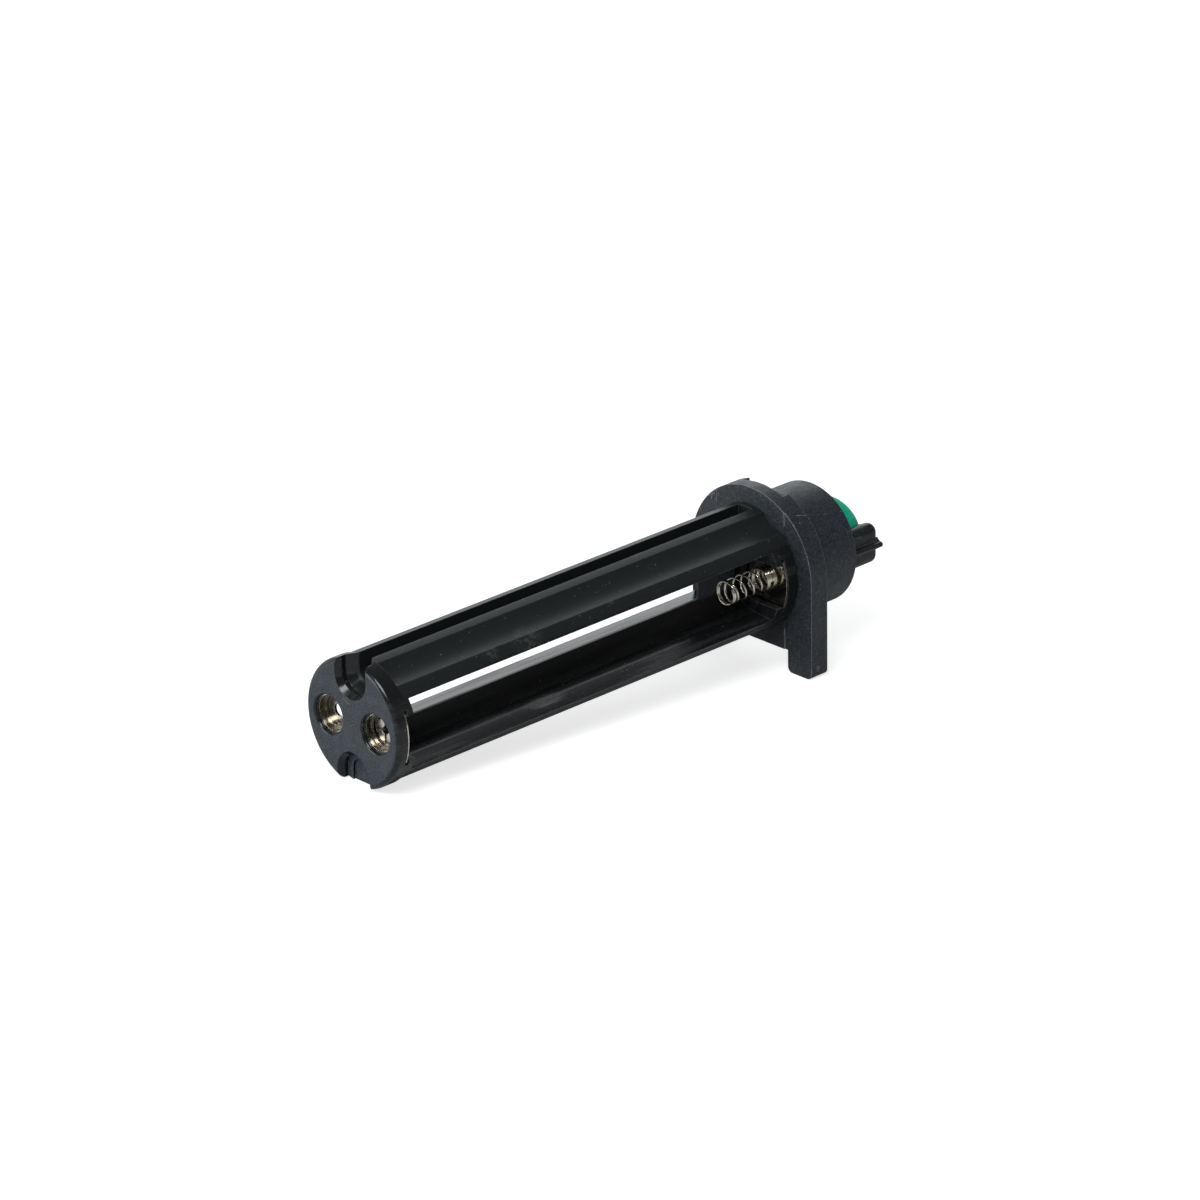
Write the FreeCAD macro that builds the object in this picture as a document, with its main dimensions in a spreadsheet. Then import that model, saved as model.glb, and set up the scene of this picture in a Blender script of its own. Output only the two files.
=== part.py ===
import FreeCAD, Part
import math
import os
import Sketcher

# A slide-in magazine for four AA cells, two in line in each of two side channels. The origin is
# the centre of the nose face. +Y runs along the tube to the flange and the turn knob, +X is the
# right-hand channel and +Z is up. A station is a distance along Y. Sizes are in millimetres.

SIZES = {
    # tube of the cradle
    "tube_radius": 14.5,
    "tube_length": 117.3,
    "nose_round": 1.3,
    "cut_margin": 1.5,
    # cell channels, open to the sides
    "cell_offset": 7.33,
    "channel_radius": 7.6,
    "channel_start": 5.35,
    "end_wall": 5.4,
    "mouth_half_height": 8.35,
    "rib_thickness": 1.65,
    "rib_opening": 5.0,
    # gap between the two channels, and the web that closes it beside the springs
    "window_half_width": 1.5,
    "window_half_height": 3.0,
    "web_length": 11.0,
    "web_thickness": 0.5,
    "web_half_height": 3.4,
    "web_hole_radius": 0.75,
    "web_hole_inset": 5.0,
    "web_hole_height": 0.3,
    "web_hole_depth": 2.0,
    # slots that hold the contact plates
    "slot_width": 0.9,
    "slot_half_height": 6.2,
    "slot_inner": 1.2,
    "neck_half_width": 3.1,
    "neck_half_height": 3.0,
    # key grooves along the top and bottom, and their wider mouths in the nose
    "key_radius": 2.1,
    "top_key_height": 10.5,
    "low_key_height": 11.5,
    "top_notch_radius": 4.05,
    "low_notch_radius": 4.25,
    "notch_lip_width": 0.85,
    "notch_lip_depth": 1.35,
    "top_notch_depth": 2.55,
    "low_notch_depth": 2.4,
    "low_inner_radius": 2.8,
    "low_inner_depth": 0.6,
    "funnel_end": 4.5,
    "groove_stop": 1.5,
    # hollow flanks between the groove lands and the cell channels
    "flank_radius": 6.4,
    "flank_x": 9.8,
    "flank_z": 16.9,
    "flank_start": 4.1,
    # contact wells in the nose
    "well_radius": 4.25,
    "well_round": 0.7,
    # sheet metal
    "sheet_thickness": 0.4,
    "plate_half_height": 5.5,
    "plate_clearance": 0.15,
    "plate_inner": 1.5,
    "bridge_neck_half_width": 3.4,
    "bridge_neck_half_height": 2.4,
    "cup_clearance": 0.05,
    "cup_wall": 0.2,
    "cup_step": 0.45,
    "cup_setback": 1.1,
    "eyelet_hole_radius": 1.5,
    "eyelet_lip": 0.65,
    "eyelet_height": 0.4,
    "eyelet_roll": 0.25,
    "star_radius": 3.1,
    "star_hole_radius": 0.9,
    "star_height": 0.6,
    "star_slope": 0.45,
    "star_slot_width": 0.6,
    # cell springs
    "wire_diameter": 0.45,
    "spring_diameter": 5.7,
    "spring_length": 12.2,
    "closed_turns": 1.9,
    "base_turns": 2.2,
    "active_turns": 4.0,
    "coil_gap": 0.04,
    # flange with its two feet
    "flange_radius": 18.5,
    "flange_plate": 3.3,
    "flange_side": 5.2,
    "foot_drop": 22.3,
    "foot_inner": 11.2,
    "foot_gap_height": 17.1,
    "foot_round": 1.4,
    "rear_recess_left": 5.2,
    "rear_recess_right": 6.7,
    "rear_recess_floor": 12.0,
    "front_pad_half_width": 10.4,
    "front_pad_height": 0.25,
    # boss behind the flange
    "boss_radius": 14.0,
    "boss_length": 19.3,
    "boss_round": 0.4,
    "boss_rear_wall": 2.0,
    "cavity_radius": 10.5,
    "spine_half_width": 4.2,
    "spine_half_height": 12.25,
    "body_overlap": 1.0,
    # screws that hold the flange to the cradle
    "screw_height": 6.2,
    "screw_radius": 1.0,
    "screw_length": 14.0,
    "screw_seat": 8.0,
    "screw_head_radius": 2.1,
    "screw_head_height": 1.5,
    "screw_clearance": 0.15,
    "pilot_clearance": 0.02,
    "pilot_spare": 1.0,
    "drive_width": 0.7,
    "drive_depth": 0.7,
    "drive_reach": 1.2,
    # knob shaft with its seal, washer and clip
    "shaft_radius": 2.0,
    "shaft_clearance": 0.04,
    "shaft_inset": 0.4,
    "shaft_square": 1.4,
    "square_clearance": 0.02,
    "square_inset": 0.2,
    "square_length": 4.6,
    "square_end_gap": 0.05,
    "clip_seat_radius": 3.6,
    "clip_seat_depth": 1.9,
    "clip_radius": 3.2,
    "clip_thickness": 0.5,
    "clip_groove_radius": 1.5,
    "clip_gap": 0.03,
    "clip_mouth": 2.4,
    "washer_thickness": 0.4,
    "washer_radius": 3.3,
    "gland_radius": 3.2,
    "gland_depth": 1.6,
    "seal_section": 1.14,
    "seal_gap": 0.02,
    # turn knob
    "knob_gap": 0.4,
    "dome_radius": 10.2,
    "dome_skirt": 0.7,
    "dome_flat": 4.0,
    "dome_floor": 1.6,
    "grip_half_span": 11.8,
    "grip_height": 8.8,
    "grip_waist": 2.3,
    "waist_radius": 19.6,
    "grip_clearance": 0.04,
    "grip_corner": 2.0,
    "grip_edge": 1.6,
    "grip_foot_gap": 0.03,
    "grip_drop_gap": 0.25,
    "grip_drop_half_width": 3.2,
    "end_rib_height": 1.3,
    "end_rib_root": 0.4,
    "end_rib_half_width": 2.1,
    "end_rib_hollow": 1.2,
    "end_rib_tip": 0.7,
    "end_rib_tip_half_width": 0.6,
    "end_rib_tip_depth": 0.35,
    "knob_screw_radius": 1.0,
    "knob_screw_head": 1.75,
    "knob_screw_recess": 3.0,
    "knob_screw_length": 7.0,
}

PARTS_FOLDER = "parts"
POINTS_PER_TURN = 8


class Length:
    """A size with the sheet expression that gives it."""

    def __init__(self, value, text):
        self.value = float(value)
        self.text = text

    def __add__(self, other):
        return Length(self.value + other.value, "(%s + %s)" % (self.text, other.text))

    def __sub__(self, other):
        return Length(self.value - other.value, "(%s - %s)" % (self.text, other.text))

    def __neg__(self):
        return Length(-self.value, "(-1 * %s)" % self.text)

    def __mul__(self, factor):
        return Length(self.value * factor, "(%s * %s)" % (self.text, factor))


def leg(hypotenuse, side):
    """The other short side of a right triangle."""
    value = math.sqrt(hypotenuse.value ** 2 - side.value ** 2)
    return Length(value, "sqrt(%s ^ 2 - %s ^ 2)" % (hypotenuse.text, side.text))


class Dimensions:
    """Every cell of the sheet, by name."""

    def __init__(self, sheet):
        for row, (alias, number) in enumerate(SIZES.items(), start=1):
            sheet.set("A%d" % row, alias)
            sheet.set("B%d" % row, str(number))
            sheet.setAlias("B%d" % row, alias)
        sheet.Document.recompute()
        for alias in SIZES:
            setattr(self, alias, Length(sheet.get(alias), "Sizes." + alias))


doc = FreeCAD.newDocument("cell_magazine")
size_sheet = doc.addObject("Spreadsheet::Sheet", "Sizes")
dim = Dimensions(size_sheet)
ZERO = Length(0.0, "0")


def new_body(label):
    body = doc.addObject("PartDesign::Body", label)
    body.Label = label
    return body


def origin_feature(body, role):
    for feature in body.Origin.OriginFeatures:
        if feature.Role == role:
            return feature
    raise ValueError("no origin feature " + role)


class Profile:
    """A sketch on one of its body's origin planes, with every size bound to the sheet."""

    def __init__(self, body, name, station=ZERO, plane="XZ_Plane"):
        self.sketch = body.newObject("Sketcher::SketchObject", name)
        self.sketch.AttachmentSupport = [(origin_feature(body, plane), "")]
        self.sketch.MapMode = "FlatFace"
        if station is not ZERO:
            # the XZ plane faces -Y, so a station lies behind it
            self.sketch.setExpression("AttachmentOffset.Base.z", (-station).text)

    def add(self, kind, *places):
        return self.sketch.addConstraint(Sketcher.Constraint(kind, *places))

    def bind(self, kind, places, size):
        """Add a dimension and tie it to the sheet."""
        index = self.add(kind, *places, size.value)
        name = "size_%d" % index
        self.sketch.renameConstraint(index, name)
        self.sketch.setExpression("Constraints." + name, size.text)

    def place(self, vertex, x, y):
        """Fix a vertex at a distance from each sketch axis."""
        self.place_along("DistanceX", -2, vertex, x)
        self.place_along("DistanceY", -1, vertex, y)

    def place_along(self, kind, axis, vertex, distance):
        if abs(distance.value) < 1e-9:
            self.add("PointOnObject", *vertex, axis)
        elif distance.value > 0:
            self.bind(kind, (-1, 1) + vertex, distance)
        else:
            self.bind(kind, vertex + (-1, 1), -distance)

    def line(self, start, end):
        first = FreeCAD.Vector(start[0].value, start[1].value, 0)
        last = FreeCAD.Vector(end[0].value, end[1].value, 0)
        return self.sketch.addGeometry(Part.LineSegment(first, last), False)

    def circle(self, x, y, radius):
        centre = FreeCAD.Vector(x.value, y.value, 0)
        curve = Part.Circle(centre, FreeCAD.Vector(0, 0, 1), radius.value)
        index = self.sketch.addGeometry(curve, False)
        self.place((index, 3), x, y)
        self.bind("Radius", (index,), radius)

    def rectangle(self, left, bottom, right, top):
        self.outline([(left, bottom), (right, bottom), (right, top), (left, top)])

    def outline(self, corners, arcs=None):
        """A closed outline. arcs gives, for the side after a corner, its radius and its bulge."""
        arcs = arcs or {}
        count = len(corners)
        sides = []
        for number, start in enumerate(corners):
            end = corners[(number + 1) % count]
            if number in arcs:
                sides.append(self.arc(start, end, *arcs[number]))
            else:
                sides.append((self.line(start, end), 1, 2))
        for number, (index, first, _) in enumerate(sides):
            previous, _, last = sides[number - 1]
            self.add("Coincident", previous, last, index, first)
            self.place((index, first), *corners[number])

    def arc(self, start, end, radius, bulge):
        """An arc shorter than a half circle; a bulge of 1 leaves it to the right of its chord."""
        first = FreeCAD.Vector(start[0].value, start[1].value, 0)
        last = FreeCAD.Vector(end[0].value, end[1].value, 0)
        chord = last - first
        side = FreeCAD.Vector(-chord.y, chord.x, 0).normalize() * bulge
        rise = math.sqrt(max(radius.value ** 2 - (chord.Length / 2) ** 2, 0))
        centre = (first + last) * 0.5 + side * rise
        begin = math.atan2(first.y - centre.y, first.x - centre.x)
        finish = math.atan2(last.y - centre.y, last.x - centre.x)
        forwards = (finish - begin) % (2 * math.pi) < math.pi
        low, high = (begin, finish) if forwards else (finish, begin)
        if high < low:
            high += 2 * math.pi
        circle = Part.Circle(centre, FreeCAD.Vector(0, 0, 1), radius.value)
        index = self.sketch.addGeometry(Part.ArcOfCircle(circle, low, high), False)
        self.bind("Radius", (index,), radius)
        return (index, 1, 2) if forwards else (index, 2, 1)

    def trough(self, x, y, radius, mouth, way):
        """A U outline: a half circle about (x, y) whose straight sides run out to the mouth."""
        along_x = way in ("+x", "-x")
        turns = {"+x": 90, "-x": 270, "+y": 180, "-y": 0}
        begin = math.radians(turns[way])
        centre = FreeCAD.Vector(x.value, y.value, 0)
        circle = Part.Circle(centre, FreeCAD.Vector(0, 0, 1), radius.value)
        arc = self.sketch.addGeometry(Part.ArcOfCircle(circle, begin, begin + math.pi), False)
        self.place((arc, 3), x, y)
        self.bind("Radius", (arc,), radius)
        first = self.sketch.Geometry[arc].StartPoint
        last = self.sketch.Geometry[arc].EndPoint
        if along_x:
            outer = [FreeCAD.Vector(mouth.value, first.y, 0), FreeCAD.Vector(mouth.value, last.y, 0)]
        else:
            outer = [FreeCAD.Vector(first.x, mouth.value, 0), FreeCAD.Vector(last.x, mouth.value, 0)]
        path = [first] + outer + [last]
        sides = []
        for start, end in zip(path, path[1:]):
            sides.append(self.sketch.addGeometry(Part.LineSegment(start, end), False))
        level, across = ("Horizontal", "Vertical") if along_x else ("Vertical", "Horizontal")
        self.add(across, arc, 1, arc, 3)
        self.add(across, arc, 2, arc, 3)
        self.add("Coincident", arc, 1, sides[0], 1)
        self.add("Coincident", sides[0], 2, sides[1], 1)
        self.add("Coincident", sides[1], 2, sides[2], 1)
        self.add("Coincident", sides[2], 2, arc, 2)
        self.add(level, sides[0])
        self.add(across, sides[1])
        self.add(level, sides[2])
        if along_x:
            self.place_along("DistanceX", -2, (sides[1], 1), mouth)
        else:
            self.place_along("DistanceY", -1, (sides[1], 1), mouth)


def pad(body, name, profile, length):
    """Add the profile, drawn on the XZ plane, as a prism towards +Y."""
    feature = body.newObject("PartDesign::Pad", name)
    feature.Profile = profile.sketch
    feature.Reversed = True
    feature.setExpression("Length", length.text)
    doc.recompute()
    return feature


def pocket(body, name, profile, length):
    """Cut the profile, drawn on the XZ plane, as a prism towards +Y."""
    before = body.Shape.Volume
    feature = body.newObject("PartDesign::Pocket", name)
    feature.Profile = profile.sketch
    feature.setExpression("Length", length.text)
    doc.recompute()
    if body.Shape.Volume >= before:
        raise ValueError(name + " cuts nothing")
    return feature


def revolve(body, name, profile):
    """Turn a profile, drawn on the XY plane, about the Y axis."""
    feature = body.newObject("PartDesign::Revolution", name)
    feature.Profile = profile.sketch
    feature.ReferenceAxis = (profile.sketch, ["V_Axis"])
    feature.Angle = 360
    doc.recompute()
    return feature


def edge_names(shape, wanted):
    """Names of the edges for which wanted gives true."""
    return ["Edge%d" % number for number, edge in enumerate(shape.Edges, start=1) if wanted(edge)]


def dress(body, kind, name, wanted, size):
    """Fillet or chamfer the wanted edges of the body's last feature."""
    base = body.Tip
    names = edge_names(base.Shape, wanted)
    if not names:
        raise ValueError(name + " finds no edge")
    feature = body.newObject("PartDesign::" + kind, name)
    feature.Base = (base, names)
    feature.setExpression("Radius" if kind == "Fillet" else "Size", size.text)
    doc.recompute()
    return feature


def at_station(edge, station):
    """True for an edge that lies wholly at the station."""
    box = edge.BoundBox
    return abs(box.YMin - station.value) < 1e-4 and abs(box.YMax - station.value) < 1e-4


def channel_end():
    return dim.tube_length - dim.end_wall


def window_end():
    return channel_end() - dim.web_length


def boss_end():
    return dim.tube_length + dim.boss_length


def near_slot_end():
    return dim.channel_start - dim.rib_thickness


def near_slot_start():
    return near_slot_end() - dim.slot_width


def far_slot_start():
    return channel_end() + dim.rib_thickness


def far_slot_end():
    return far_slot_start() + dim.slot_width


def cut_cell_channels(body):
    """Two U channels that open sideways, each with an open rib before the contact plates."""
    mouth = dim.tube_radius + dim.cut_margin
    stretches = (
        ("channels", dim.channel_radius, dim.channel_start, channel_end()),
        ("near_ribs", dim.rib_opening, near_slot_start(), dim.channel_start),
        ("far_ribs", dim.rib_opening, channel_end(), far_slot_end()),
    )
    for name, radius, start, end in stretches:
        profile = Profile(body, name + "_outline", start)
        profile.trough(dim.cell_offset, ZERO, radius, mouth, "+x")
        profile.trough(-dim.cell_offset, ZERO, radius, -mouth, "-x")
        pocket(body, name, profile, end - start)
    mouths = Profile(body, "mouths_outline", dim.channel_start)
    inner = dim.cell_offset
    low = dim.channel_radius
    high = dim.mouth_half_height
    mouths.outline([(inner, -low), (mouth, -high), (mouth, high), (inner, low)])
    mouths.outline([(-inner, low), (-mouth, high), (-mouth, -high), (-inner, -low)])
    pocket(body, "mouths", mouths, channel_end() - dim.channel_start)


def cut_plate_slots(body):
    """Slots open to the sides: two behind the nose, and one right across the far end."""
    reach = dim.tube_radius + dim.cut_margin
    high = dim.slot_half_height
    for name, start, inner in (
        ("near_slots", near_slot_start(), dim.slot_inner),
        ("far_slots", far_slot_start(), dim.neck_half_width),
    ):
        profile = Profile(body, name + "_outline", start)
        profile.rectangle(inner, -high, reach, high)
        profile.rectangle(-reach, -high, -inner, high)
        pocket(body, name, profile, dim.slot_width)
    neck = Profile(body, "neck_slot_outline", far_slot_start())
    wide = dim.neck_half_width
    neck.rectangle(-wide, -dim.neck_half_height, wide, dim.neck_half_height)
    pocket(body, "neck_slot", neck, dim.slot_width)


def cut_window(body):
    """Open the middle between the channels, but close it at the springs with a thin web.

    The hole in the web is blind: it stops at the middle of the sheet.
    """
    window = Profile(body, "window_outline", dim.channel_start)
    wide = dim.window_half_width
    window.rectangle(-wide, -dim.window_half_height, wide, dim.window_half_height)
    pocket(body, "window", window, window_end() - dim.channel_start)
    web = Profile(body, "web_outline", window_end())
    half = dim.web_thickness * 0.5
    web.rectangle(-half, -dim.web_half_height, half, dim.web_half_height)
    pad(body, "web", web, far_slot_start() - window_end())
    hole = Profile(body, "web_hole_outline", plane="YZ_Plane")
    hole.circle(channel_end() - dim.web_hole_inset, dim.web_hole_height, dim.web_hole_radius)
    feature = body.newObject("PartDesign::Pocket", "web_hole")
    feature.Profile = hole.sketch
    feature.Reversed = True
    feature.setExpression("Length", dim.web_hole_depth.text)
    doc.recompute()


def taper(body, name, wide, narrow):
    """Cut the ruled shape between two profiles."""
    feature = body.newObject("PartDesign::SubtractiveLoft", name)
    feature.Profile = wide.sketch
    feature.Sections = [narrow.sketch]
    feature.Ruled = True
    doc.recompute()


def cut_key_groove(body, name, centre, mouth, way):
    """A round-bottomed groove along the beam, from behind the nose to the far end."""
    groove = Profile(body, name + "_groove_outline", dim.funnel_end)
    groove.trough(ZERO, centre, dim.key_radius, mouth, way)
    length = dim.tube_length - dim.groove_stop - dim.funnel_end
    pocket(body, name + "_groove", groove, length)


def cut_notch(body, name, centre, radius, depth, mouth, way):
    """A straight-walled notch in the nose face, with a sloping lip."""
    lip = Profile(body, name + "_lip_outline")
    lip.trough(ZERO, centre, radius + dim.notch_lip_width, mouth, way)
    wall = Profile(body, name + "_wall_outline", dim.notch_lip_depth)
    wall.trough(ZERO, centre, radius, mouth, way)
    taper(body, name + "_lip", lip, wall)
    straight = Profile(body, name + "_straight_outline", dim.notch_lip_depth)
    straight.trough(ZERO, centre, radius, mouth, way)
    pocket(body, name + "_straight", straight, depth - dim.notch_lip_depth)


def cut_keys(body):
    """The upper groove opens into its notch by a funnel; the lower notch is blind and stepped."""
    reach = dim.tube_radius + dim.cut_margin
    top = dim.top_key_height
    low = -dim.low_key_height
    cut_key_groove(body, "top", top, reach, "+y")
    cut_key_groove(body, "low", low, -reach, "-y")
    cut_notch(body, "top", top, dim.top_notch_radius, dim.top_notch_depth, reach, "+y")
    wide = Profile(body, "funnel_wide_outline", dim.top_notch_depth)
    wide.trough(ZERO, top, dim.top_notch_radius, reach, "+y")
    narrow = Profile(body, "funnel_narrow_outline", dim.funnel_end)
    narrow.trough(ZERO, top, dim.key_radius, reach, "+y")
    taper(body, "funnel", wide, narrow)
    cut_notch(body, "low", low, dim.low_notch_radius, dim.low_notch_depth, -reach, "-y")
    inner = Profile(body, "low_inner_outline", dim.low_notch_depth)
    inner.trough(ZERO, low, dim.low_inner_radius, -reach, "-y")
    pocket(body, "low_inner", inner, dim.low_inner_depth)


def cut_flanks(body):
    """Four hollow flanks, one beside each groove land."""
    profile = Profile(body, "flank_outline", dim.flank_start)
    for x in (dim.flank_x, -dim.flank_x):
        for z in (dim.flank_z, -dim.flank_z):
            profile.circle(x, z, dim.flank_radius)
    pocket(body, "flanks", profile, dim.tube_length - dim.flank_start)


def cut_wells(body):
    """Two round wells in the nose face, open to the near plate slots."""
    profile = Profile(body, "well_outline")
    for x in (dim.cell_offset, -dim.cell_offset):
        profile.circle(x, ZERO, dim.well_radius)
    pocket(body, "wells", profile, near_slot_start())

    def rim(edge):
        round_edge = at_station(edge, ZERO) and isinstance(edge.Curve, Part.Circle)
        return round_edge and abs(edge.Curve.Radius - dim.well_radius.value) < 1e-4

    dress(body, "Fillet", "well_lips", rim, dim.well_round)


def cut_pilot_holes(body):
    """Blind holes for the flange screws in the ends of the two beams."""
    depth = dim.screw_length - dim.screw_seat + dim.pilot_spare
    profile = Profile(body, "pilot_outline", dim.tube_length - depth)
    for z in (dim.screw_height, -dim.screw_height):
        profile.circle(ZERO, z, dim.screw_radius + dim.pilot_clearance)
    pocket(body, "pilot_holes", profile, depth)


def make_cradle():
    body = new_body("cell_cradle")
    tube = Profile(body, "tube_outline")
    tube.circle(ZERO, ZERO, dim.tube_radius)
    pad(body, "tube", tube, dim.tube_length)
    dress(body, "Fillet", "nose_edge", lambda edge: at_station(edge, ZERO), dim.nose_round)
    cut_cell_channels(body)
    cut_flanks(body)
    cut_keys(body)
    cut_plate_slots(body)
    cut_window(body)
    cut_wells(body)
    cut_pilot_holes(body)
    return body


def cup_neck_radius():
    return dim.well_radius - dim.cup_clearance - dim.cup_step


def make_contact_plate(side, label):
    """A flat plate that slides into a near slot, with a round hole for the neck of its cup."""
    body = new_body(label)
    radius = dim.tube_radius - dim.plate_clearance
    high = dim.plate_half_height
    outer = leg(radius, high)
    inner = dim.plate_inner
    profile = Profile(body, label + "_outline", near_slot_start())
    if side > 0:
        corners = [(inner, -high), (outer, -high), (outer, high), (inner, high)]
    else:
        corners = [(-inner, high), (-outer, high), (-outer, -high), (-inner, -high)]
    profile.outline(corners, {1: (radius, 1)})
    pad(body, label + "_sheet", profile, dim.sheet_thickness)
    hole = Profile(body, label + "_hole_outline", near_slot_start())
    hole.circle(dim.cell_offset * side, ZERO, cup_neck_radius() + dim.cup_clearance)
    pocket(body, label + "_hole", hole, dim.sheet_thickness)
    return body


def make_cup_shell(body, x):
    """The drawn cup of a contact well: its shoulder rests on the contact plate."""
    shoulder = near_slot_start()
    end = near_slot_end()
    floor = end - dim.cup_wall
    mouth_radius = dim.well_radius - dim.cup_clearance
    outside = (
        ("cup_mouth", mouth_radius, dim.cup_setback, shoulder),
        ("cup_neck", cup_neck_radius(), shoulder, end),
    )
    for name, radius, start, stop in outside:
        profile = Profile(body, name + "_outline", start)
        profile.circle(x, ZERO, radius)
        pad(body, name, profile, stop - start)
    inside = (
        ("mouth_hollow", mouth_radius, dim.cup_setback, shoulder - dim.cup_wall),
        ("neck_hollow", cup_neck_radius(), shoulder - dim.cup_wall, floor),
    )
    for name, radius, start, stop in inside:
        profile = Profile(body, name + "_outline", start)
        profile.circle(x, ZERO, radius - dim.cup_wall)
        pocket(body, name, profile, stop - start)
    return floor


def make_eyelet_cup():
    """The left cup: a rolled eyelet round a plain hole."""
    body = new_body("socket_cup_left")
    x = -dim.cell_offset
    floor = make_cup_shell(body, x)
    start = floor - dim.eyelet_height
    lip = Profile(body, "lip_outline", start)
    lip.circle(x, ZERO, dim.eyelet_hole_radius + dim.eyelet_lip)
    pad(body, "lip", lip, dim.eyelet_height)
    dress(body, "Fillet", "lip_roll", lambda edge: at_station(edge, start), dim.eyelet_roll)
    hole = Profile(body, "eyelet_hole_outline", start)
    hole.circle(x, ZERO, dim.eyelet_hole_radius)
    pocket(body, "eyelet_hole", hole, dim.eyelet_height + dim.cup_wall)
    return body


def make_star_cup():
    """The right cup: a raised star of four sprung petals that grips a contact pin."""
    body = new_body("socket_cup_right")
    x = dim.cell_offset
    floor = make_cup_shell(body, x)
    start = floor - dim.star_height
    star = Profile(body, "star_outline", start)
    star.circle(x, ZERO, dim.star_radius)
    pad(body, "star", star, dim.star_height)
    dress(body, "Chamfer", "star_edge", lambda edge: at_station(edge, start), dim.star_slope)
    through = dim.star_height + dim.cup_wall
    hole = Profile(body, "star_hole_outline", start)
    hole.circle(x, ZERO, dim.star_hole_radius)
    pocket(body, "star_hole", hole, through)
    half = dim.star_slot_width * 0.5
    reach = dim.star_radius
    level = Profile(body, "level_slot_outline", start)
    level.rectangle(x - reach, -half, x + reach, half)
    pocket(body, "level_slot", level, through)
    upright = Profile(body, "upright_slot_outline", start)
    upright.rectangle(x - half, -reach, x + half, reach)
    pocket(body, "upright_slot", upright, through)
    return body


def make_bridge_plate():
    """One sheet across both channels; its neck passes between the flange screws."""
    body = new_body("bridge_plate")
    radius = dim.tube_radius - dim.plate_clearance
    high = dim.plate_half_height
    outer = leg(radius, high)
    start = far_slot_end() - dim.sheet_thickness
    sheet = Profile(body, "bridge_outline", start)
    corners = [(-outer, -high), (outer, -high), (outer, high), (-outer, high)]
    sheet.outline(corners, {1: (radius, 1), 3: (radius, 1)})
    pad(body, "bridge_sheet", sheet, dim.sheet_thickness)
    neck = Profile(body, "bridge_neck_outline", start)
    wide = dim.bridge_neck_half_width
    beyond = high + dim.cut_margin
    neck.rectangle(-wide, dim.bridge_neck_half_height, wide, beyond)
    neck.rectangle(-wide, -beyond, wide, -dim.bridge_neck_half_height)
    pocket(body, "bridge_neck", neck, dim.sheet_thickness)
    return body


def spring_points():
    """Points of the wire's centre line about the Y axis, from the plate to the tip."""
    wire = dim.wire_diameter.value
    radius = (dim.spring_diameter.value - wire) / 2
    closed_pitch = wire + dim.coil_gap.value
    rise = dim.spring_length.value - wire
    active_rise = rise - closed_pitch * (dim.base_turns.value + dim.closed_turns.value)
    stretches = (
        (dim.base_turns.value, closed_pitch),
        (dim.active_turns.value, active_rise / dim.active_turns.value),
        (dim.closed_turns.value, closed_pitch),
    )
    start = far_slot_end().value - dim.sheet_thickness.value - wire / 2
    points = []
    turn = 0.0
    climb = 0.0
    for turns, pitch in stretches:
        count = max(2, round(turns * POINTS_PER_TURN))
        for _ in range(count):
            angle = 2 * math.pi * turn
            points.append(FreeCAD.Vector(radius * math.cos(angle), start - climb, radius * math.sin(angle)))
            turn += turns / count
            climb += turns * pitch / count
    angle = 2 * math.pi * turn
    points.append(FreeCAD.Vector(radius * math.cos(angle), start - climb, radius * math.sin(angle)))
    return points


def make_spring(x, label):
    """A coil spring of round wire, swept along one smooth curve of changing pitch."""
    curve = Part.BSplineCurve()
    curve.interpolate(spring_points())
    path = Part.Wire([curve.toShape()])
    start, ahead = curve.value(curve.FirstParameter), curve.tangent(curve.FirstParameter)[0]
    section = Part.Wire([Part.makeCircle(dim.wire_diameter.value / 2, start, ahead)])
    sweep = Part.BRepOffsetAPI.MakePipeShell(path)
    sweep.setFrenetMode(True)
    sweep.add(section)
    sweep.build()
    sweep.makeSolid()
    spring = doc.addObject("Part::Feature", label)
    spring.Label = label
    spring.Shape = sweep.shape()
    spring.setExpression("Placement.Base.x", x.text)
    return spring


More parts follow.
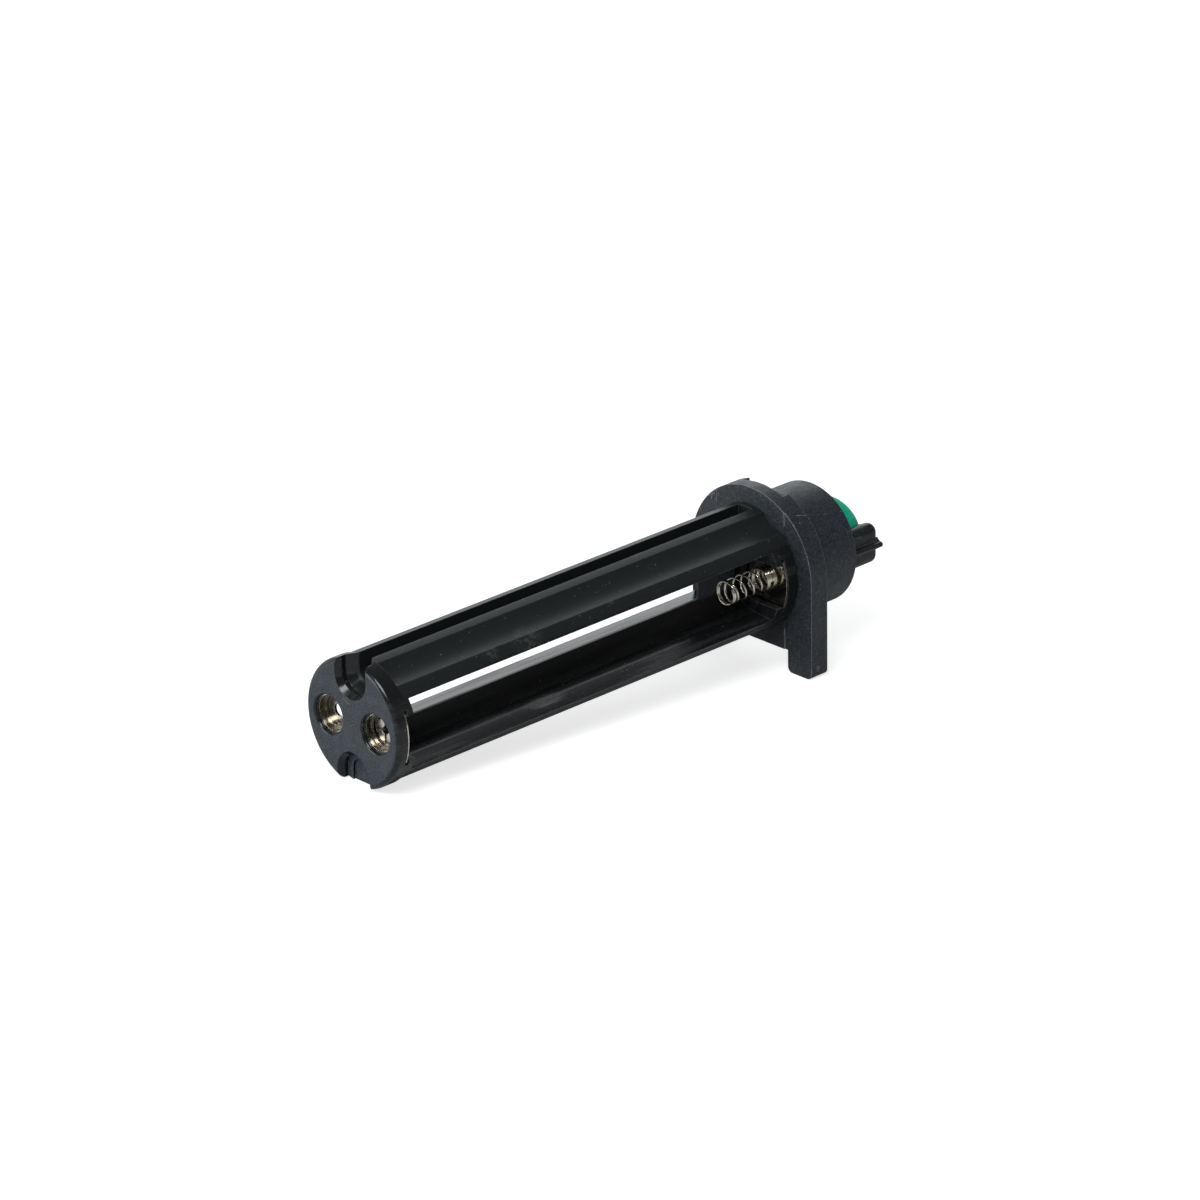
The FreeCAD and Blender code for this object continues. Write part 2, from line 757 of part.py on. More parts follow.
def make_flange_housing():
    """Flange, feet and boss in one moulding, with the seats of the shaft and the screws."""
    body = new_body("flange_housing")
    front = dim.tube_length
    plate = Profile(body, "flange_outline", front)
    plate.trough(ZERO, ZERO, dim.flange_radius, -dim.foot_drop, "-y")
    pad(body, "flange", plate, dim.flange_side)
    gap = Profile(body, "foot_gap_outline", front)
    below = -dim.foot_drop - dim.cut_margin
    gap.rectangle(-dim.foot_inner, below, dim.foot_inner, -dim.foot_gap_height)
    pocket(body, "foot_gap", gap, dim.flange_side)

    def foot_corner(edge):
        box = edge.BoundBox
        low = abs(box.ZMin + dim.foot_drop.value) < 1e-4 and abs(box.ZMax + dim.foot_drop.value) < 1e-4
        return low and box.YLength > dim.flange_side.value / 2

    dress(body, "Fillet", "foot_corners", foot_corner, dim.foot_round)
    sides = Profile(body, "front_sides_outline", front)
    wide = dim.front_pad_half_width
    beyond = dim.flange_radius + dim.cut_margin
    sides.rectangle(wide, below, beyond, beyond)
    sides.rectangle(-beyond, below, -wide, beyond)
    pocket(body, "front_sides", sides, dim.front_pad_height)
    recess = Profile(body, "rear_recess_outline", front + dim.flange_plate)
    recess.rectangle(-dim.rear_recess_left, dim.rear_recess_floor, dim.rear_recess_right, beyond)
    pocket(body, "rear_recess", recess, dim.flange_side - dim.flange_plate)
    boss = Profile(body, "boss_outline", front + dim.body_overlap)
    boss.circle(ZERO, ZERO, dim.boss_radius)
    pad(body, "boss", boss, dim.boss_length - dim.body_overlap)
    dress(body, "Fillet", "boss_edge", lambda edge: at_station(edge, boss_end()), dim.boss_round)
    cavity = Profile(body, "cavity_outline", front)
    cavity.circle(ZERO, ZERO, dim.cavity_radius)
    pocket(body, "cavity", cavity, dim.boss_length - dim.boss_rear_wall)
    spine = Profile(body, "spine_outline", front)
    wide = dim.spine_half_width
    high = dim.spine_half_height
    spine.rectangle(-wide, -high, wide, high)
    pad(body, "spine", spine, dim.boss_length - dim.body_overlap)
    cut_shaft_seats(body)
    cut_screw_seats(body)
    return body


def cut_shaft_seats(body):
    """The shaft bore, the clip seat in front of it and the seal gland behind it."""
    front = dim.tube_length
    seats = (
        ("shaft_bore", dim.shaft_radius + dim.shaft_clearance, front, dim.boss_length),
        ("clip_seat", dim.clip_seat_radius, front, dim.clip_seat_depth),
        ("seal_gland", dim.gland_radius, boss_end() - dim.gland_depth, dim.gland_depth),
    )
    for name, radius, start, depth in seats:
        profile = Profile(body, name + "_outline", start)
        profile.circle(ZERO, ZERO, radius)
        pocket(body, name, profile, depth)


def cut_screw_seats(body):
    """Clearance holes and head wells of the two flange screws."""
    front = dim.tube_length
    seat = front + dim.screw_seat
    holes = (
        ("screw_holes", dim.screw_radius + dim.screw_clearance, front, dim.screw_seat),
        ("head_wells", dim.screw_head_radius + dim.screw_clearance, seat, boss_end() - seat),
    )
    for name, radius, start, depth in holes:
        profile = Profile(body, name + "_outline", start)
        for z in (dim.screw_height, -dim.screw_height):
            profile.circle(ZERO, z, radius)
        pocket(body, name, profile, depth)


def cylinder(name, radius, start, length, z=ZERO):
    """A Part cylinder along +Y from a station."""
    shape = doc.addObject("Part::Cylinder", name)
    shape.setExpression("Radius", radius.text)
    shape.setExpression("Height", length.text)
    shape.Placement = FreeCAD.Placement(FreeCAD.Vector(), FreeCAD.Rotation(FreeCAD.Vector(1, 0, 0), -90))
    shape.setExpression("Placement.Base.y", start.text)
    shape.setExpression("Placement.Base.z", z.text)
    return shape


def block(name, half_x, half_z, start, length, z=ZERO):
    """A Part box centred on the Y axis, or on a line z above it, from a station."""
    shape = doc.addObject("Part::Box", name)
    shape.setExpression("Length", (half_x * 2).text)
    shape.setExpression("Width", length.text)
    shape.setExpression("Height", (half_z * 2).text)
    shape.setExpression("Placement.Base.x", (-half_x).text)
    shape.setExpression("Placement.Base.y", start.text)
    shape.setExpression("Placement.Base.z", (z - half_z).text)
    return shape


def fuse(name, pieces):
    shape = doc.addObject("Part::MultiFuse", name)
    shape.Shapes = pieces
    return shape


def cut(name, base, tool):
    shape = doc.addObject("Part::Cut", name)
    shape.Base = base
    shape.Tool = tool
    return shape


def make_screw(name, z):
    """A pan-head screw with a cross drive, its tip towards the nose."""
    seat = dim.tube_length + dim.screw_seat
    top = seat + dim.screw_head_height
    shank = cylinder(name + "_shank", dim.screw_radius, seat - dim.screw_length, dim.screw_length, z)
    head = cylinder(name + "_head", dim.screw_head_radius, seat, dim.screw_head_height, z)
    blank = fuse(name + "_blank", [shank, head])
    reach = dim.drive_reach
    half = dim.drive_width * 0.5
    start = top - dim.drive_depth
    level = block(name + "_drive_level", reach, half, start, dim.drive_depth, z)
    upright = block(name + "_drive_upright", half, reach, start, dim.drive_depth, z)
    return cut(name, blank, fuse(name + "_drive", [level, upright]))


def make_flange_screws():
    upper = make_screw("upper_screw", dim.screw_height)
    lower = make_screw("lower_screw", -dim.screw_height)
    screws = doc.addObject("Part::Compound", "flange_screws")
    screws.Label = "flange_screws"
    screws.Links = [upper, lower]
    return screws


def clip_station():
    """The front face of the shaft clip: clip and washer stack up against the seat's floor."""
    floor = dim.tube_length + dim.clip_seat_depth
    stack = dim.washer_thickness + dim.clip_thickness + dim.clip_gap + dim.clip_gap
    return floor - stack


def square_start():
    return boss_end() + dim.square_inset


def shaft_end():
    return square_start() + dim.square_length


def make_shaft():
    """A round shaft with a clip groove at the front and a square, tapped end for the knob."""
    body = new_body("knob_shaft")
    groove_start = clip_station() - dim.clip_gap
    groove_end = clip_station() + dim.clip_thickness + dim.clip_gap
    front = dim.tube_length + dim.shaft_inset
    profile = Profile(body, "shaft_outline", plane="XY_Plane")
    profile.outline([
        (ZERO, front),
        (dim.shaft_radius, front),
        (dim.shaft_radius, groove_start),
        (dim.clip_groove_radius, groove_start),
        (dim.clip_groove_radius, groove_end),
        (dim.shaft_radius, groove_end),
        (dim.shaft_radius, square_start()),
        (ZERO, square_start()),
    ])
    revolve(body, "shaft_turned", profile)
    square = Profile(body, "square_outline", square_start())
    half = dim.shaft_square
    square.rectangle(-half, -half, half, half)
    pad(body, "square", square, dim.square_length)
    hole_start = knob_screw_seat() - dim.knob_screw_length - dim.pilot_spare
    hole = Profile(body, "tapped_hole_outline", hole_start)
    hole.circle(ZERO, ZERO, dim.knob_screw_radius + dim.pilot_clearance)
    pocket(body, "tapped_hole", hole, shaft_end() - hole_start)
    return body


def make_shaft_clip():
    """An open ring that snaps sideways into the shaft's groove."""
    start = clip_station()
    ring = cylinder("clip_blank", dim.clip_radius, start, dim.clip_thickness)
    bore = cylinder("clip_bore", dim.clip_groove_radius + dim.clip_gap, start, dim.clip_thickness)
    mouth = doc.addObject("Part::Box", "clip_mouth")
    mouth.setExpression("Length", dim.clip_mouth.text)
    mouth.setExpression("Width", dim.clip_thickness.text)
    mouth.setExpression("Height", dim.clip_radius.text)
    mouth.setExpression("Placement.Base.x", (dim.clip_mouth * -0.5).text)
    mouth.setExpression("Placement.Base.y", start.text)
    clip = cut("shaft_clip", ring, fuse("clip_opening", [bore, mouth]))
    clip.Label = "shaft_clip"
    return clip


def make_washer():
    """The friction washer between the clip and the housing."""
    start = clip_station() + dim.clip_thickness + dim.clip_gap
    disc = cylinder("washer_blank", dim.washer_radius, start, dim.washer_thickness)
    bore_radius = dim.shaft_radius + dim.shaft_clearance
    bore = cylinder("washer_bore", bore_radius, start, dim.washer_thickness)
    washer = cut("friction_washer", disc, bore)
    washer.Label = "friction_washer"
    return washer


def make_seal():
    """A round-section sealing ring on the shaft, in the gland behind the boss."""
    seal = doc.addObject("Part::Torus", "shaft_seal")
    seal.Label = "shaft_seal"
    section = dim.seal_section * 0.5
    seal.setExpression("Radius2", section.text)
    seal.setExpression("Radius1", (dim.shaft_radius + dim.seal_gap + section).text)
    seal.Placement = FreeCAD.Placement(FreeCAD.Vector(), FreeCAD.Rotation(FreeCAD.Vector(1, 0, 0), -90))
    seal.setExpression("Placement.Base.y", (boss_end() - dim.gland_depth * 0.5).text)
    return seal


def dome_base():
    return boss_end() + dim.knob_gap


def dome_floor():
    return dome_base() + dim.dome_floor


def grip_end():
    return dome_base() + dim.grip_height


def knob_screw_seat():
    return grip_end() - dim.knob_screw_recess


def draw_grip(profile, half_span, clearance):
    """A bar with hollow sides: thin at the waist and wide at both ends."""
    radius = dim.waist_radius - clearance
    far = dim.grip_waist + dim.waist_radius
    edge = far - leg(radius, half_span)
    corners = [(half_span, -edge), (half_span, edge), (-half_span, edge), (-half_span, -edge)]
    profile.outline(corners, {1: (radius, -1), 3: (radius, -1)})


def make_dome():
    """The coloured round body of the knob, with a slot right across it for the grip."""
    body = new_body("knob_dome")
    base = dome_base()
    skirt = base + dim.dome_skirt
    top = skirt + leg(dim.dome_radius, dim.dome_flat)
    profile = Profile(body, "dome_outline", plane="XY_Plane")
    corners = [
        (ZERO, base),
        (dim.dome_radius, base),
        (dim.dome_radius, skirt),
        (dim.dome_flat, top),
        (ZERO, top),
    ]
    profile.outline(corners, {2: (dim.dome_radius, 1)})
    revolve(body, "dome", profile)
    slot = Profile(body, "grip_slot_outline", dome_floor())
    draw_grip(slot, dim.grip_half_span, dim.grip_clearance)
    pocket(body, "grip_slot", slot, top - dome_floor())
    cut_square_hole(body, base, dim.dome_floor)
    return body


def cut_square_hole(body, start, depth):
    square = Profile(body, "square_hole_outline", start)
    half = dim.shaft_square + dim.square_clearance
    square.rectangle(-half, -half, half, half)
    pocket(body, "square_hole", square, depth)


def draw_end_rib(profile, side):
    """The rib down one end of the grip: a round ridge with hollow flanks."""
    root = dim.grip_half_span - dim.end_rib_root
    tip = dim.grip_half_span + dim.end_rib_height - dim.end_rib_tip_depth
    wide = dim.end_rib_half_width * side
    thin = dim.end_rib_tip_half_width * side
    corners = [(root * side, -wide), (tip * side, -thin), (tip * side, thin), (root * side, wide)]
    hollow = (dim.end_rib_hollow, -1)
    profile.outline(corners, {0: hollow, 1: (dim.end_rib_tip, 1), 2: hollow})


def make_grip():
    """The bar that the fingers turn: hollow sides, rounded ends and a rib down each end."""
    body = new_body("knob_grip")
    start = dome_floor()
    bar = Profile(body, "bar_outline", start)
    draw_grip(bar, dim.grip_half_span, ZERO)
    pad(body, "bar", bar, grip_end() - start)

    def end_corner(edge):
        box = edge.BoundBox
        outside = min(abs(box.XMin), abs(box.XMax)) > dim.grip_half_span.value - 1e-3
        return outside and box.YLength > (grip_end() - start).value / 2

    dress(body, "Fillet", "end_corners", end_corner, dim.grip_corner)
    dress(body, "Fillet", "rear_edge", lambda edge: at_station(edge, grip_end()), dim.grip_edge)
    foot = dome_base() + dim.grip_foot_gap
    inside = dim.dome_radius + dim.grip_drop_gap
    drops = Profile(body, "drop_outline", foot)
    half = dim.grip_drop_half_width
    drops.rectangle(inside, -half, dim.grip_half_span, half)
    drops.rectangle(-dim.grip_half_span, -half, -inside, half)
    pad(body, "drops", drops, start + dim.grip_edge - foot)
    ribs = Profile(body, "rib_outline", foot)
    draw_end_rib(ribs, 1)
    draw_end_rib(ribs, -1)
    pad(body, "ribs", ribs, grip_end() - foot)
    cut_square_hole(body, start, shaft_end() - start + dim.square_end_gap)
    hole = Profile(body, "screw_hole_outline", start)
    hole.circle(ZERO, ZERO, dim.knob_screw_radius + dim.screw_clearance)
    pocket(body, "screw_hole", hole, grip_end() - start)
    recess = Profile(body, "screw_recess_outline", knob_screw_seat())
    recess.circle(ZERO, ZERO, dim.knob_screw_head + dim.screw_clearance)
    pocket(body, "screw_recess", recess, dim.knob_screw_recess)
    return body


def make_knob_screw():
    """The screw that pulls grip and dome onto the square end of the shaft."""
    seat = knob_screw_seat()
    shank_start = seat - dim.knob_screw_length
    shank = cylinder("knob_screw_shank", dim.knob_screw_radius, shank_start, dim.knob_screw_length)
    head = cylinder("knob_screw_cap", dim.knob_screw_head, seat, dim.screw_head_height)
    blank = fuse("knob_screw_blank", [shank, head])
    reach = dim.drive_reach
    half = dim.drive_width * 0.5
    start = seat + dim.screw_head_height - dim.drive_depth
    level = block("knob_drive_level", reach, half, start, dim.drive_depth)
    upright = block("knob_drive_upright", half, reach, start, dim.drive_depth)
    screw = cut("knob_screw", blank, fuse("knob_drive", [level, upright]))
    screw.Label = "knob_screw"
    return screw


def make_nodes():
    return [
        make_cradle(),
        make_flange_housing(),
        make_eyelet_cup(),
        make_star_cup(),
        make_contact_plate(-1, "contact_plate_left"),
        make_contact_plate(1, "contact_plate_right"),
        make_bridge_plate(),
        make_spring(-dim.cell_offset, "spring_left"),
        make_spring(dim.cell_offset, "spring_right"),
        make_flange_screws(),
        make_shaft(),
        make_shaft_clip(),
        make_washer(),
        make_seal(),
        make_dome(),
        make_grip(),
        make_knob_screw(),
    ]


def check_document(nodes):
    """Stop if any object failed, or if a node has no valid solid."""
    for item in doc.Objects:
        if "Invalid" in item.State or "Error" in item.State:
            raise RuntimeError("%s failed: %s" % (item.Name, item.State))
    for node in nodes:
        if node.Shape.isNull() or not node.Shape.isValid() or not node.Shape.Solids:
            raise RuntimeError(node.Label + " is not a valid solid")


def write_nodes(nodes):
    os.makedirs(PARTS_FOLDER, exist_ok=True)
    for node in nodes:
        node.Shape.exportStep(os.path.join(PARTS_FOLDER, node.Label + ".step"))
        box = node.Shape.BoundBox
        print("%-20s solids %d  volume %8.1f  Y %.2f to %.2f" % (
            node.Label, len(node.Shape.Solids), node.Shape.Volume, box.YMin, box.YMax))


pieces = make_nodes()
doc.recompute()
check_document(pieces)
write_nodes(pieces)
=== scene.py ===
"""Looks of the slide-in cell magazine: finishes, cell springs, floor, light and camera."""

import math

import bpy
from bpy.props import FloatProperty, FloatVectorProperty, IntProperty, PointerProperty
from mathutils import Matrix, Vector


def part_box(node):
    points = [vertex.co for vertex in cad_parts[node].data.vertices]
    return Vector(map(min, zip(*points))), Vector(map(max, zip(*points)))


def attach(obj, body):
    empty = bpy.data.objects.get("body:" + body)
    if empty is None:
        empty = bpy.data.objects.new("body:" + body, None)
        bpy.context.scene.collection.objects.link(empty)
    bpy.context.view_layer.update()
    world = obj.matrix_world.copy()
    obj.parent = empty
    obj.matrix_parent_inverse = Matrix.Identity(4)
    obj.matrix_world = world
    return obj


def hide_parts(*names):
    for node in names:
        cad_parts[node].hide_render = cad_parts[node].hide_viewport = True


bl_info = {
    "name": "Cell magazine looks",
    "version": (1, 0, 0),
    "blender": (4, 5, 0),
    "location": "3D View > Sidebar > Cell magazine",
    "description": "Finishes and dresses a tubular magazine for AA cells",
    "category": "Object",
}

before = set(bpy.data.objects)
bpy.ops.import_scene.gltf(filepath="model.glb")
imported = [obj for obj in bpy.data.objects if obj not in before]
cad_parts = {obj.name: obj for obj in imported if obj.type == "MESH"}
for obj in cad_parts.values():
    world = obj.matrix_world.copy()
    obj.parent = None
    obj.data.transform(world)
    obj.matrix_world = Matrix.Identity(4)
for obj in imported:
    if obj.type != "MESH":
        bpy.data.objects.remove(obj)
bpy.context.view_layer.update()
MM = 0.001
WHITE = (1.0, 1.0, 1.0, 1.0)
NUMBER = "NodeSocketFloat"
VECTOR = "NodeSocketVector"
BEVEL_SAMPLES = 6

# Places on the part, in millimetres. Each pair is the two ends of a mask's fade.
NOSE_FACE_END = (3.3, 3.5)  # along Y; the textured nose face lies before it
NOSE_DISC_END = (3.9, 4.3)  # along Y; the beams begin behind it
CHANNEL_EDGE = (8.0, 8.8)  # above or below the axis, where a channel gives way to the beams
SLOPE_EDGE = (3.4, 4.2)  # from the middle plane, as far as the slopes beside the window reach
WEB_SIDE = (0.3, 0.6)  # from the middle plane, as far as the web behind the window reaches
WEB_FACE = (100.6, 101.0)  # along Y, where the web begins
FLANGE_CLEAR = (15.7, 16.3)  # from the axis; the corner of flange and boss lies inside
BOSS_CLEAR = (126.0, 127.0)  # along Y; the same corner lies before it

# Marks on the part, in millimetres. A scratch has its two ends and its width.
SMUDGES = (((10.6, 40.5, 9.8), 5.0), ((10.4, 30.0, 10.0), 2.6))  # centre and reach
# Rubbed patch on the near channel's floor, lightened as a painted reflection of light through the
# window
RUBBED_REFLECTION_PLACE = (7.9, 47.6, -7.4)
RUBBED_REFLECTION_SCALE = (0.35, 0.14, 0.45)  # share of the patch to the millimetre along each axis
NOSE_NICKS = (((-2.3, 0.0, 5.2), (-0.6, 0.0, 4.4), 0.14),)
HOUSING_SCRATCHES = (
    ((11.7, 119.7, 14.4), (12.3, 122.3, 13.9), 0.14),
    ((17.2, 117.6, -6.8), (16.1, 121.3, -9.2), 0.12),
    ((-13.4, 117.5, 12.6), (-11.2, 117.5, 13.9), 0.16),
    ((-12.3, 117.5, 12.2), (-11.9, 117.5, 13.7), 0.14),
    ((-11.0, 117.5, 12.4), (-9.6, 117.5, 13.2), 0.14),
)

# Shapes of the shared effects
PIT_SHARE = 0.35  # height of the grain's pits beside its noise
SPECK_RAGGEDNESS = 0.12  # millimetres by which a speck's outline strays
LARGEST_SPECK = 0.35  # radius in cells of the dust's spacing
FAINTEST_SPECK = 0.3  # strength beside the strongest
STREAK_PATCH_SCALE = (0.35, 0.03, 0.35)  # patches to the millimetre along each axis
RIDGE_BEND = 9.0  # how far a fingerprint's ridges stray from rings
RIDGE_SPREAD = 2.2  # phase to the millimetre from the print's middle
RIDGE_RATE = 5.0  # radians of the ridges' wave for each unit of phase
RIDGE_DEPTH = 0.3
HAIRLINE_WIDTH = 0.0016  # how far the slow noise may be from its middle
HAIRLINE_LAYERS = ((0.0, (0.16, 0.05, 0.1)), (31.0, (0.05, 0.14, 0.17)))  # shift and scale

# Colours that follow from others, and the rubber's own
TARNISH_TINT = (0.7, 0.58, 0.44)
SEAL_COLOUR = (0.015, 0.015, 0.015)

# Springs
SPRING_SIDES = ("left", "right")
CLOSED_GAP = 0.04 * MM  # between the wires of closed turns

# Stage
LIGHT_AIM = (0.0, 0.06, 0.0)
SOFTBOXES = (
    ("key", (0.33, -0.56, 0.92), 0.5),
    ("fill", (-0.45, -1.0, 0.35), 0.7),
    ("back", (-0.85, 0.75, 0.5), 0.9),
)  # name, place and width in metres
SENSOR_WIDTH = 36.0  # millimetres
FLOOR_SEEN = 0.72  # glow of the floor for the camera
FLOOR_MIRRORED = 0.24  # glow of its white side in mirrors
FLOOR_WHITE_SIDE = (-20.0, -300.0)  # along X, in millimetres
WORLD_MIRRORED = 0.68  # glow of the backdrop's white side in mirrors


# Settings


class FinishSettings(bpy.types.PropertyGroup):
    """Colours and finish of every material."""

    cradle_colour: FloatVectorProperty(
        name="Cradle colour",
        description="Glossy black of the cell cradle",
        subtype="COLOR",
        default=(0.0085, 0.0095, 0.0105),
    )
    beam_colour: FloatVectorProperty(
        name="Beam colour",
        description="Satin black of the beams outside the channels",
        subtype="COLOR",
        default=(0.0108, 0.0134, 0.0142),
    )
    nose_colour: FloatVectorProperty(
        name="Nose colour",
        description="Textured black of the nose disc",
        subtype="COLOR",
        default=(0.0208, 0.0248, 0.0315),
    )
    housing_colour: FloatVectorProperty(
        name="Housing colour",
        description="Textured black of the flange and boss",
        subtype="COLOR",
        default=(0.012, 0.0145, 0.0186),
    )
    grip_colour: FloatVectorProperty(
        name="Grip colour",
        description="Black of the knob's grip bar",
        subtype="COLOR",
        default=(0.0058, 0.0066, 0.0076),
    )
    dome_colour: FloatVectorProperty(
        name="Dome colour",
        description="Teal green of the knob's dome",
        subtype="COLOR",
        default=(0.0, 0.5, 0.29),
    )
    nickel_colour: FloatVectorProperty(
        name="Nickel colour",
        description="Plating of the cell contacts and cups",
        subtype="COLOR",
        default=(0.84, 0.79, 0.7),
    )
    # Painted shade: the cups' walls darkened against their bright faces, on a tarnished tan
    cup_wall_shade_colour: FloatVectorProperty(
        name="Cup wall colour",
        description="Tarnished walls of the cups in the nose",
        subtype="COLOR",
        default=(0.2, 0.172, 0.14),
    )
    spring_colour: FloatVectorProperty(
        name="Spring colour",
        description="Plated wire of the cell springs",
        subtype="COLOR",
        default=(0.93, 0.88, 0.79),
    )
    steel_colour: FloatVectorProperty(
        name="Steel colour",
        description="Screws, shaft, clip and washer",
        subtype="COLOR",
        default=(0.56, 0.57, 0.58),
    )
    # Also the colour of the pale line along edges, scuffs with a painted highlight, and of the
    # channel patch's painted reflection
    dust_and_sheen_colour: FloatVectorProperty(
        name="Dust colour",
        description="Dust specks and scuffed edges on black plastic",
        subtype="COLOR",
        default=(0.42, 0.42, 0.4),
    )
    grain_size: FloatProperty(
        name="Grain size",
        description="Width of one grain of the textured plastic, in millimetres",
        default=0.32,
        min=0.01,
    )
    # Rounds the edges' normals; its width also sets the pale line along edges, scuffs with a
    # painted highlight
    rounded_edge_width: FloatProperty(
        name="Worn edge",
        description="Width of the scuffed line along sharp edges, in metres",
        default=0.0003,
        min=0.0,
        unit="LENGTH",
        precision=5,
    )


class SpringSettings(bpy.types.PropertyGroup):
    """Shape of the two cell springs."""

    wire: FloatProperty(
        name="Wire diameter",
        description="Thickness of the spring wire",
        default=0.45 * MM,
        unit="LENGTH",
        precision=5,
    )
    base_turns: FloatProperty(
        name="Base turns",
        description="Closed turns against the bridge plate",
        default=2.2,
        min=0.0,
    )
    active_turns: FloatProperty(
        name="Active turns",
        description="Open turns that flex",
        default=4.0,
        min=0.5,
    )
    tip_turns: FloatProperty(
        name="Tip turns",
        description="Closed turns that touch the cell",
        default=1.9,
        min=0.0,
    )
    steps: IntProperty(
        name="Steps a turn",
        description="Points of the wire's line in one turn",
        default=28,
        min=8,
    )
    sides: IntProperty(
        name="Wire sides",
        description="Sides of the wire's round section",
        default=12,
        min=6,
    )


class StageSettings(bpy.types.PropertyGroup):
    """Floor, light and camera."""

    camera_place: FloatVectorProperty(
        name="Camera place",
        description="Where the camera stands",
        subtype="TRANSLATION",
        default=(0.83777, -0.72002, 0.50395),
        precision=5,
    )
    camera_turn: FloatVectorProperty(
        name="Camera turn",
        description="How the camera is turned",
        subtype="EULER",
        default=tuple(math.radians(a) for a in (66.62365, 0.99693, 46.19264)),
        precision=5,
    )
    camera_lens: FloatProperty(
        name="Camera lens",
        description="Focal length on a sensor 36 mm wide",
        default=175.39,
        min=1.0,
    )
    floor_span: FloatProperty(
        name="Floor span",
        description="Length of each side of the floor",
        default=6.0,
        unit="LENGTH",
    )
    floor_colour: FloatVectorProperty(
        name="Floor colour",
        description="Pale floor",
        subtype="COLOR",
        default=(0.6, 0.6, 0.6),
    )
    nose_rest: FloatVectorProperty(
        name="Nose rest",
        description="Point of the tube's underside that touches the floor",
        subtype="TRANSLATION",
        default=(0.0, 4.3 * MM, -14.36 * MM),
        precision=5,
    )
    world_light: FloatProperty(
        name="World light",
        description="Strength of the even light all round",
        default=0.3,
        min=0.0,
    )
    white_side: FloatVectorProperty(
        name="White side",
        description="Direction of the white backdrop, as mirrors see it",
        subtype="DIRECTION",
        default=(-0.9, 0.42, 0.1),
    )
    lamp_colour: FloatVectorProperty(
        name="Lamp colour",
        description="Cool white of the three softboxes",
        subtype="COLOR",
        default=(0.93, 0.98, 1.0),
    )
    key_power: FloatProperty(
        name="Key light",
        description="Power of the high softbox before the nose",
        default=8.0,
        min=0.0,
        unit="POWER",
    )
    fill_power: FloatProperty(
        name="Fill light",
        description="Power of the low softbox at the front left",
        default=6.4,
        min=0.0,
        unit="POWER",
    )
    back_power: FloatProperty(
        name="Back light",
        description="Power of the softbox at the back left",
        default=3.6,
        min=0.0,
        unit="POWER",
    )


# Node writing


class Nodes:
    """Writes one node tree."""

    def __init__(self, tree):
        self.tree = tree

    def feed(self, socket, value):
        """Link a socket from the one given, or set it to the value given."""
        if isinstance(value, bpy.types.NodeSocket):
            self.tree.links.new(value, socket)
        else:
            socket.default_value = value

    def add(self, kind, inputs=None, **choices):
        """A node with its choices set and its inputs fed."""
        node = self.tree.nodes.new(kind)
        for name, value in choices.items():
            setattr(node, name, value)
        for key, value in (inputs or {}).items():
            self.feed(node.inputs[key], value)
        return node

    def math(self, operation, *values, clamp=False):
        """The result of an operation on numbers."""
        inputs = dict(enumerate(values))
        return self.add("ShaderNodeMath", inputs, operation=operation, use_clamp=clamp).outputs[0]

    def vector_math(self, operation, *values, output="Vector"):
        """The result of an operation on vectors."""
        inputs = dict(enumerate(values))
        return self.add("ShaderNodeVectorMath", inputs, operation=operation).outputs[output]

    def product(self, first, *others):
        """All numbers multiplied."""
        for other in others:
            first = self.math("MULTIPLY", first, other)
        return first

    def strongest(self, first, *others):
        """The largest of several masks."""
        for other in others:
            first = self.math("MAXIMUM", first, other)
        return first

    def inverse(self, mask):
        """1 where the mask is 0, and 0 where it is 1."""
        return self.math("SUBTRACT", 1.0, mask)

    def ramp(self, value, low, high, start=0.0, end=1.0):
        """Value from low to high, brought smoothly to start to end."""
        inputs = {"Value": value, "From Min": low, "From Max": high, "To Min": start, "To Max": end}
        return self.add("ShaderNodeMapRange", inputs, interpolation_type="SMOOTHSTEP").outputs[0]

    def noise(self, position, scale, detail=2.0, rough=0.5):
        """Soft noise from 0 to 1, with a scale in patches to the unit."""
        inputs = {"Vector": position, "Scale": scale, "Detail": detail, "Roughness": rough}
        return self.add("ShaderNodeTexNoise", inputs).outputs["Fac"]

    def blend(self, factor, first, second):
        """Mix of two colours."""
        node = self.add("ShaderNodeMix", data_type="RGBA")
        sockets = {socket.identifier: socket for socket in node.inputs}
        self.feed(sockets["Factor_Float"], factor)
        self.feed(sockets["A_Color"], first)
        self.feed(sockets["B_Color"], second)
        return next(socket for socket in node.outputs if socket.identifier == "Result_Color")

    def split(self, vector):
        """A vector's three coordinates, by name."""
        return self.add("ShaderNodeSeparateXYZ", {"Vector": vector}).outputs

    def joined(self, x=0.0, y=0.0, z=0.0):
        """A vector of three coordinates."""
        return self.add("ShaderNodeCombineXYZ", {"X": x, "Y": y, "Z": z}).outputs[0]

    def stretched(self, position, scale):
        """The position with another scale along each axis."""
        return self.vector_math("MULTIPLY", position, scale)

    def length(self, vector):
        """How long a vector is."""
        return self.vector_math("LENGTH", vector, output="Value")

    def dot(self, first, second):
        """The dot product of two vectors."""
        return self.vector_math("DOT_PRODUCT", first, second, output="Value")

    def face_normal(self):
        """The coordinates of the flat face's own normal."""
        return self.split(self.add("ShaderNodeNewGeometry").outputs["True Normal"])


def new_group(name, inputs, outputs, kind="ShaderNodeTree"):
    """A node group's writer, the sockets that come in and the sockets that go out."""
    tree = bpy.data.node_groups.new(name, kind)
    for label, socket, value in inputs:
        made = tree.interface.new_socket(label, in_out="INPUT", socket_type=socket)
        if value is not None:
            made.default_value = value
    for label, socket in outputs:
        tree.interface.new_socket(label, in_out="OUTPUT", socket_type=socket)
    nodes = Nodes(tree)
    start = nodes.add("NodeGroupInput").outputs
    end = nodes.add("NodeGroupOutput").inputs
    return nodes, start, end


# Shared effects. Positions and sizes in them are in millimetres.


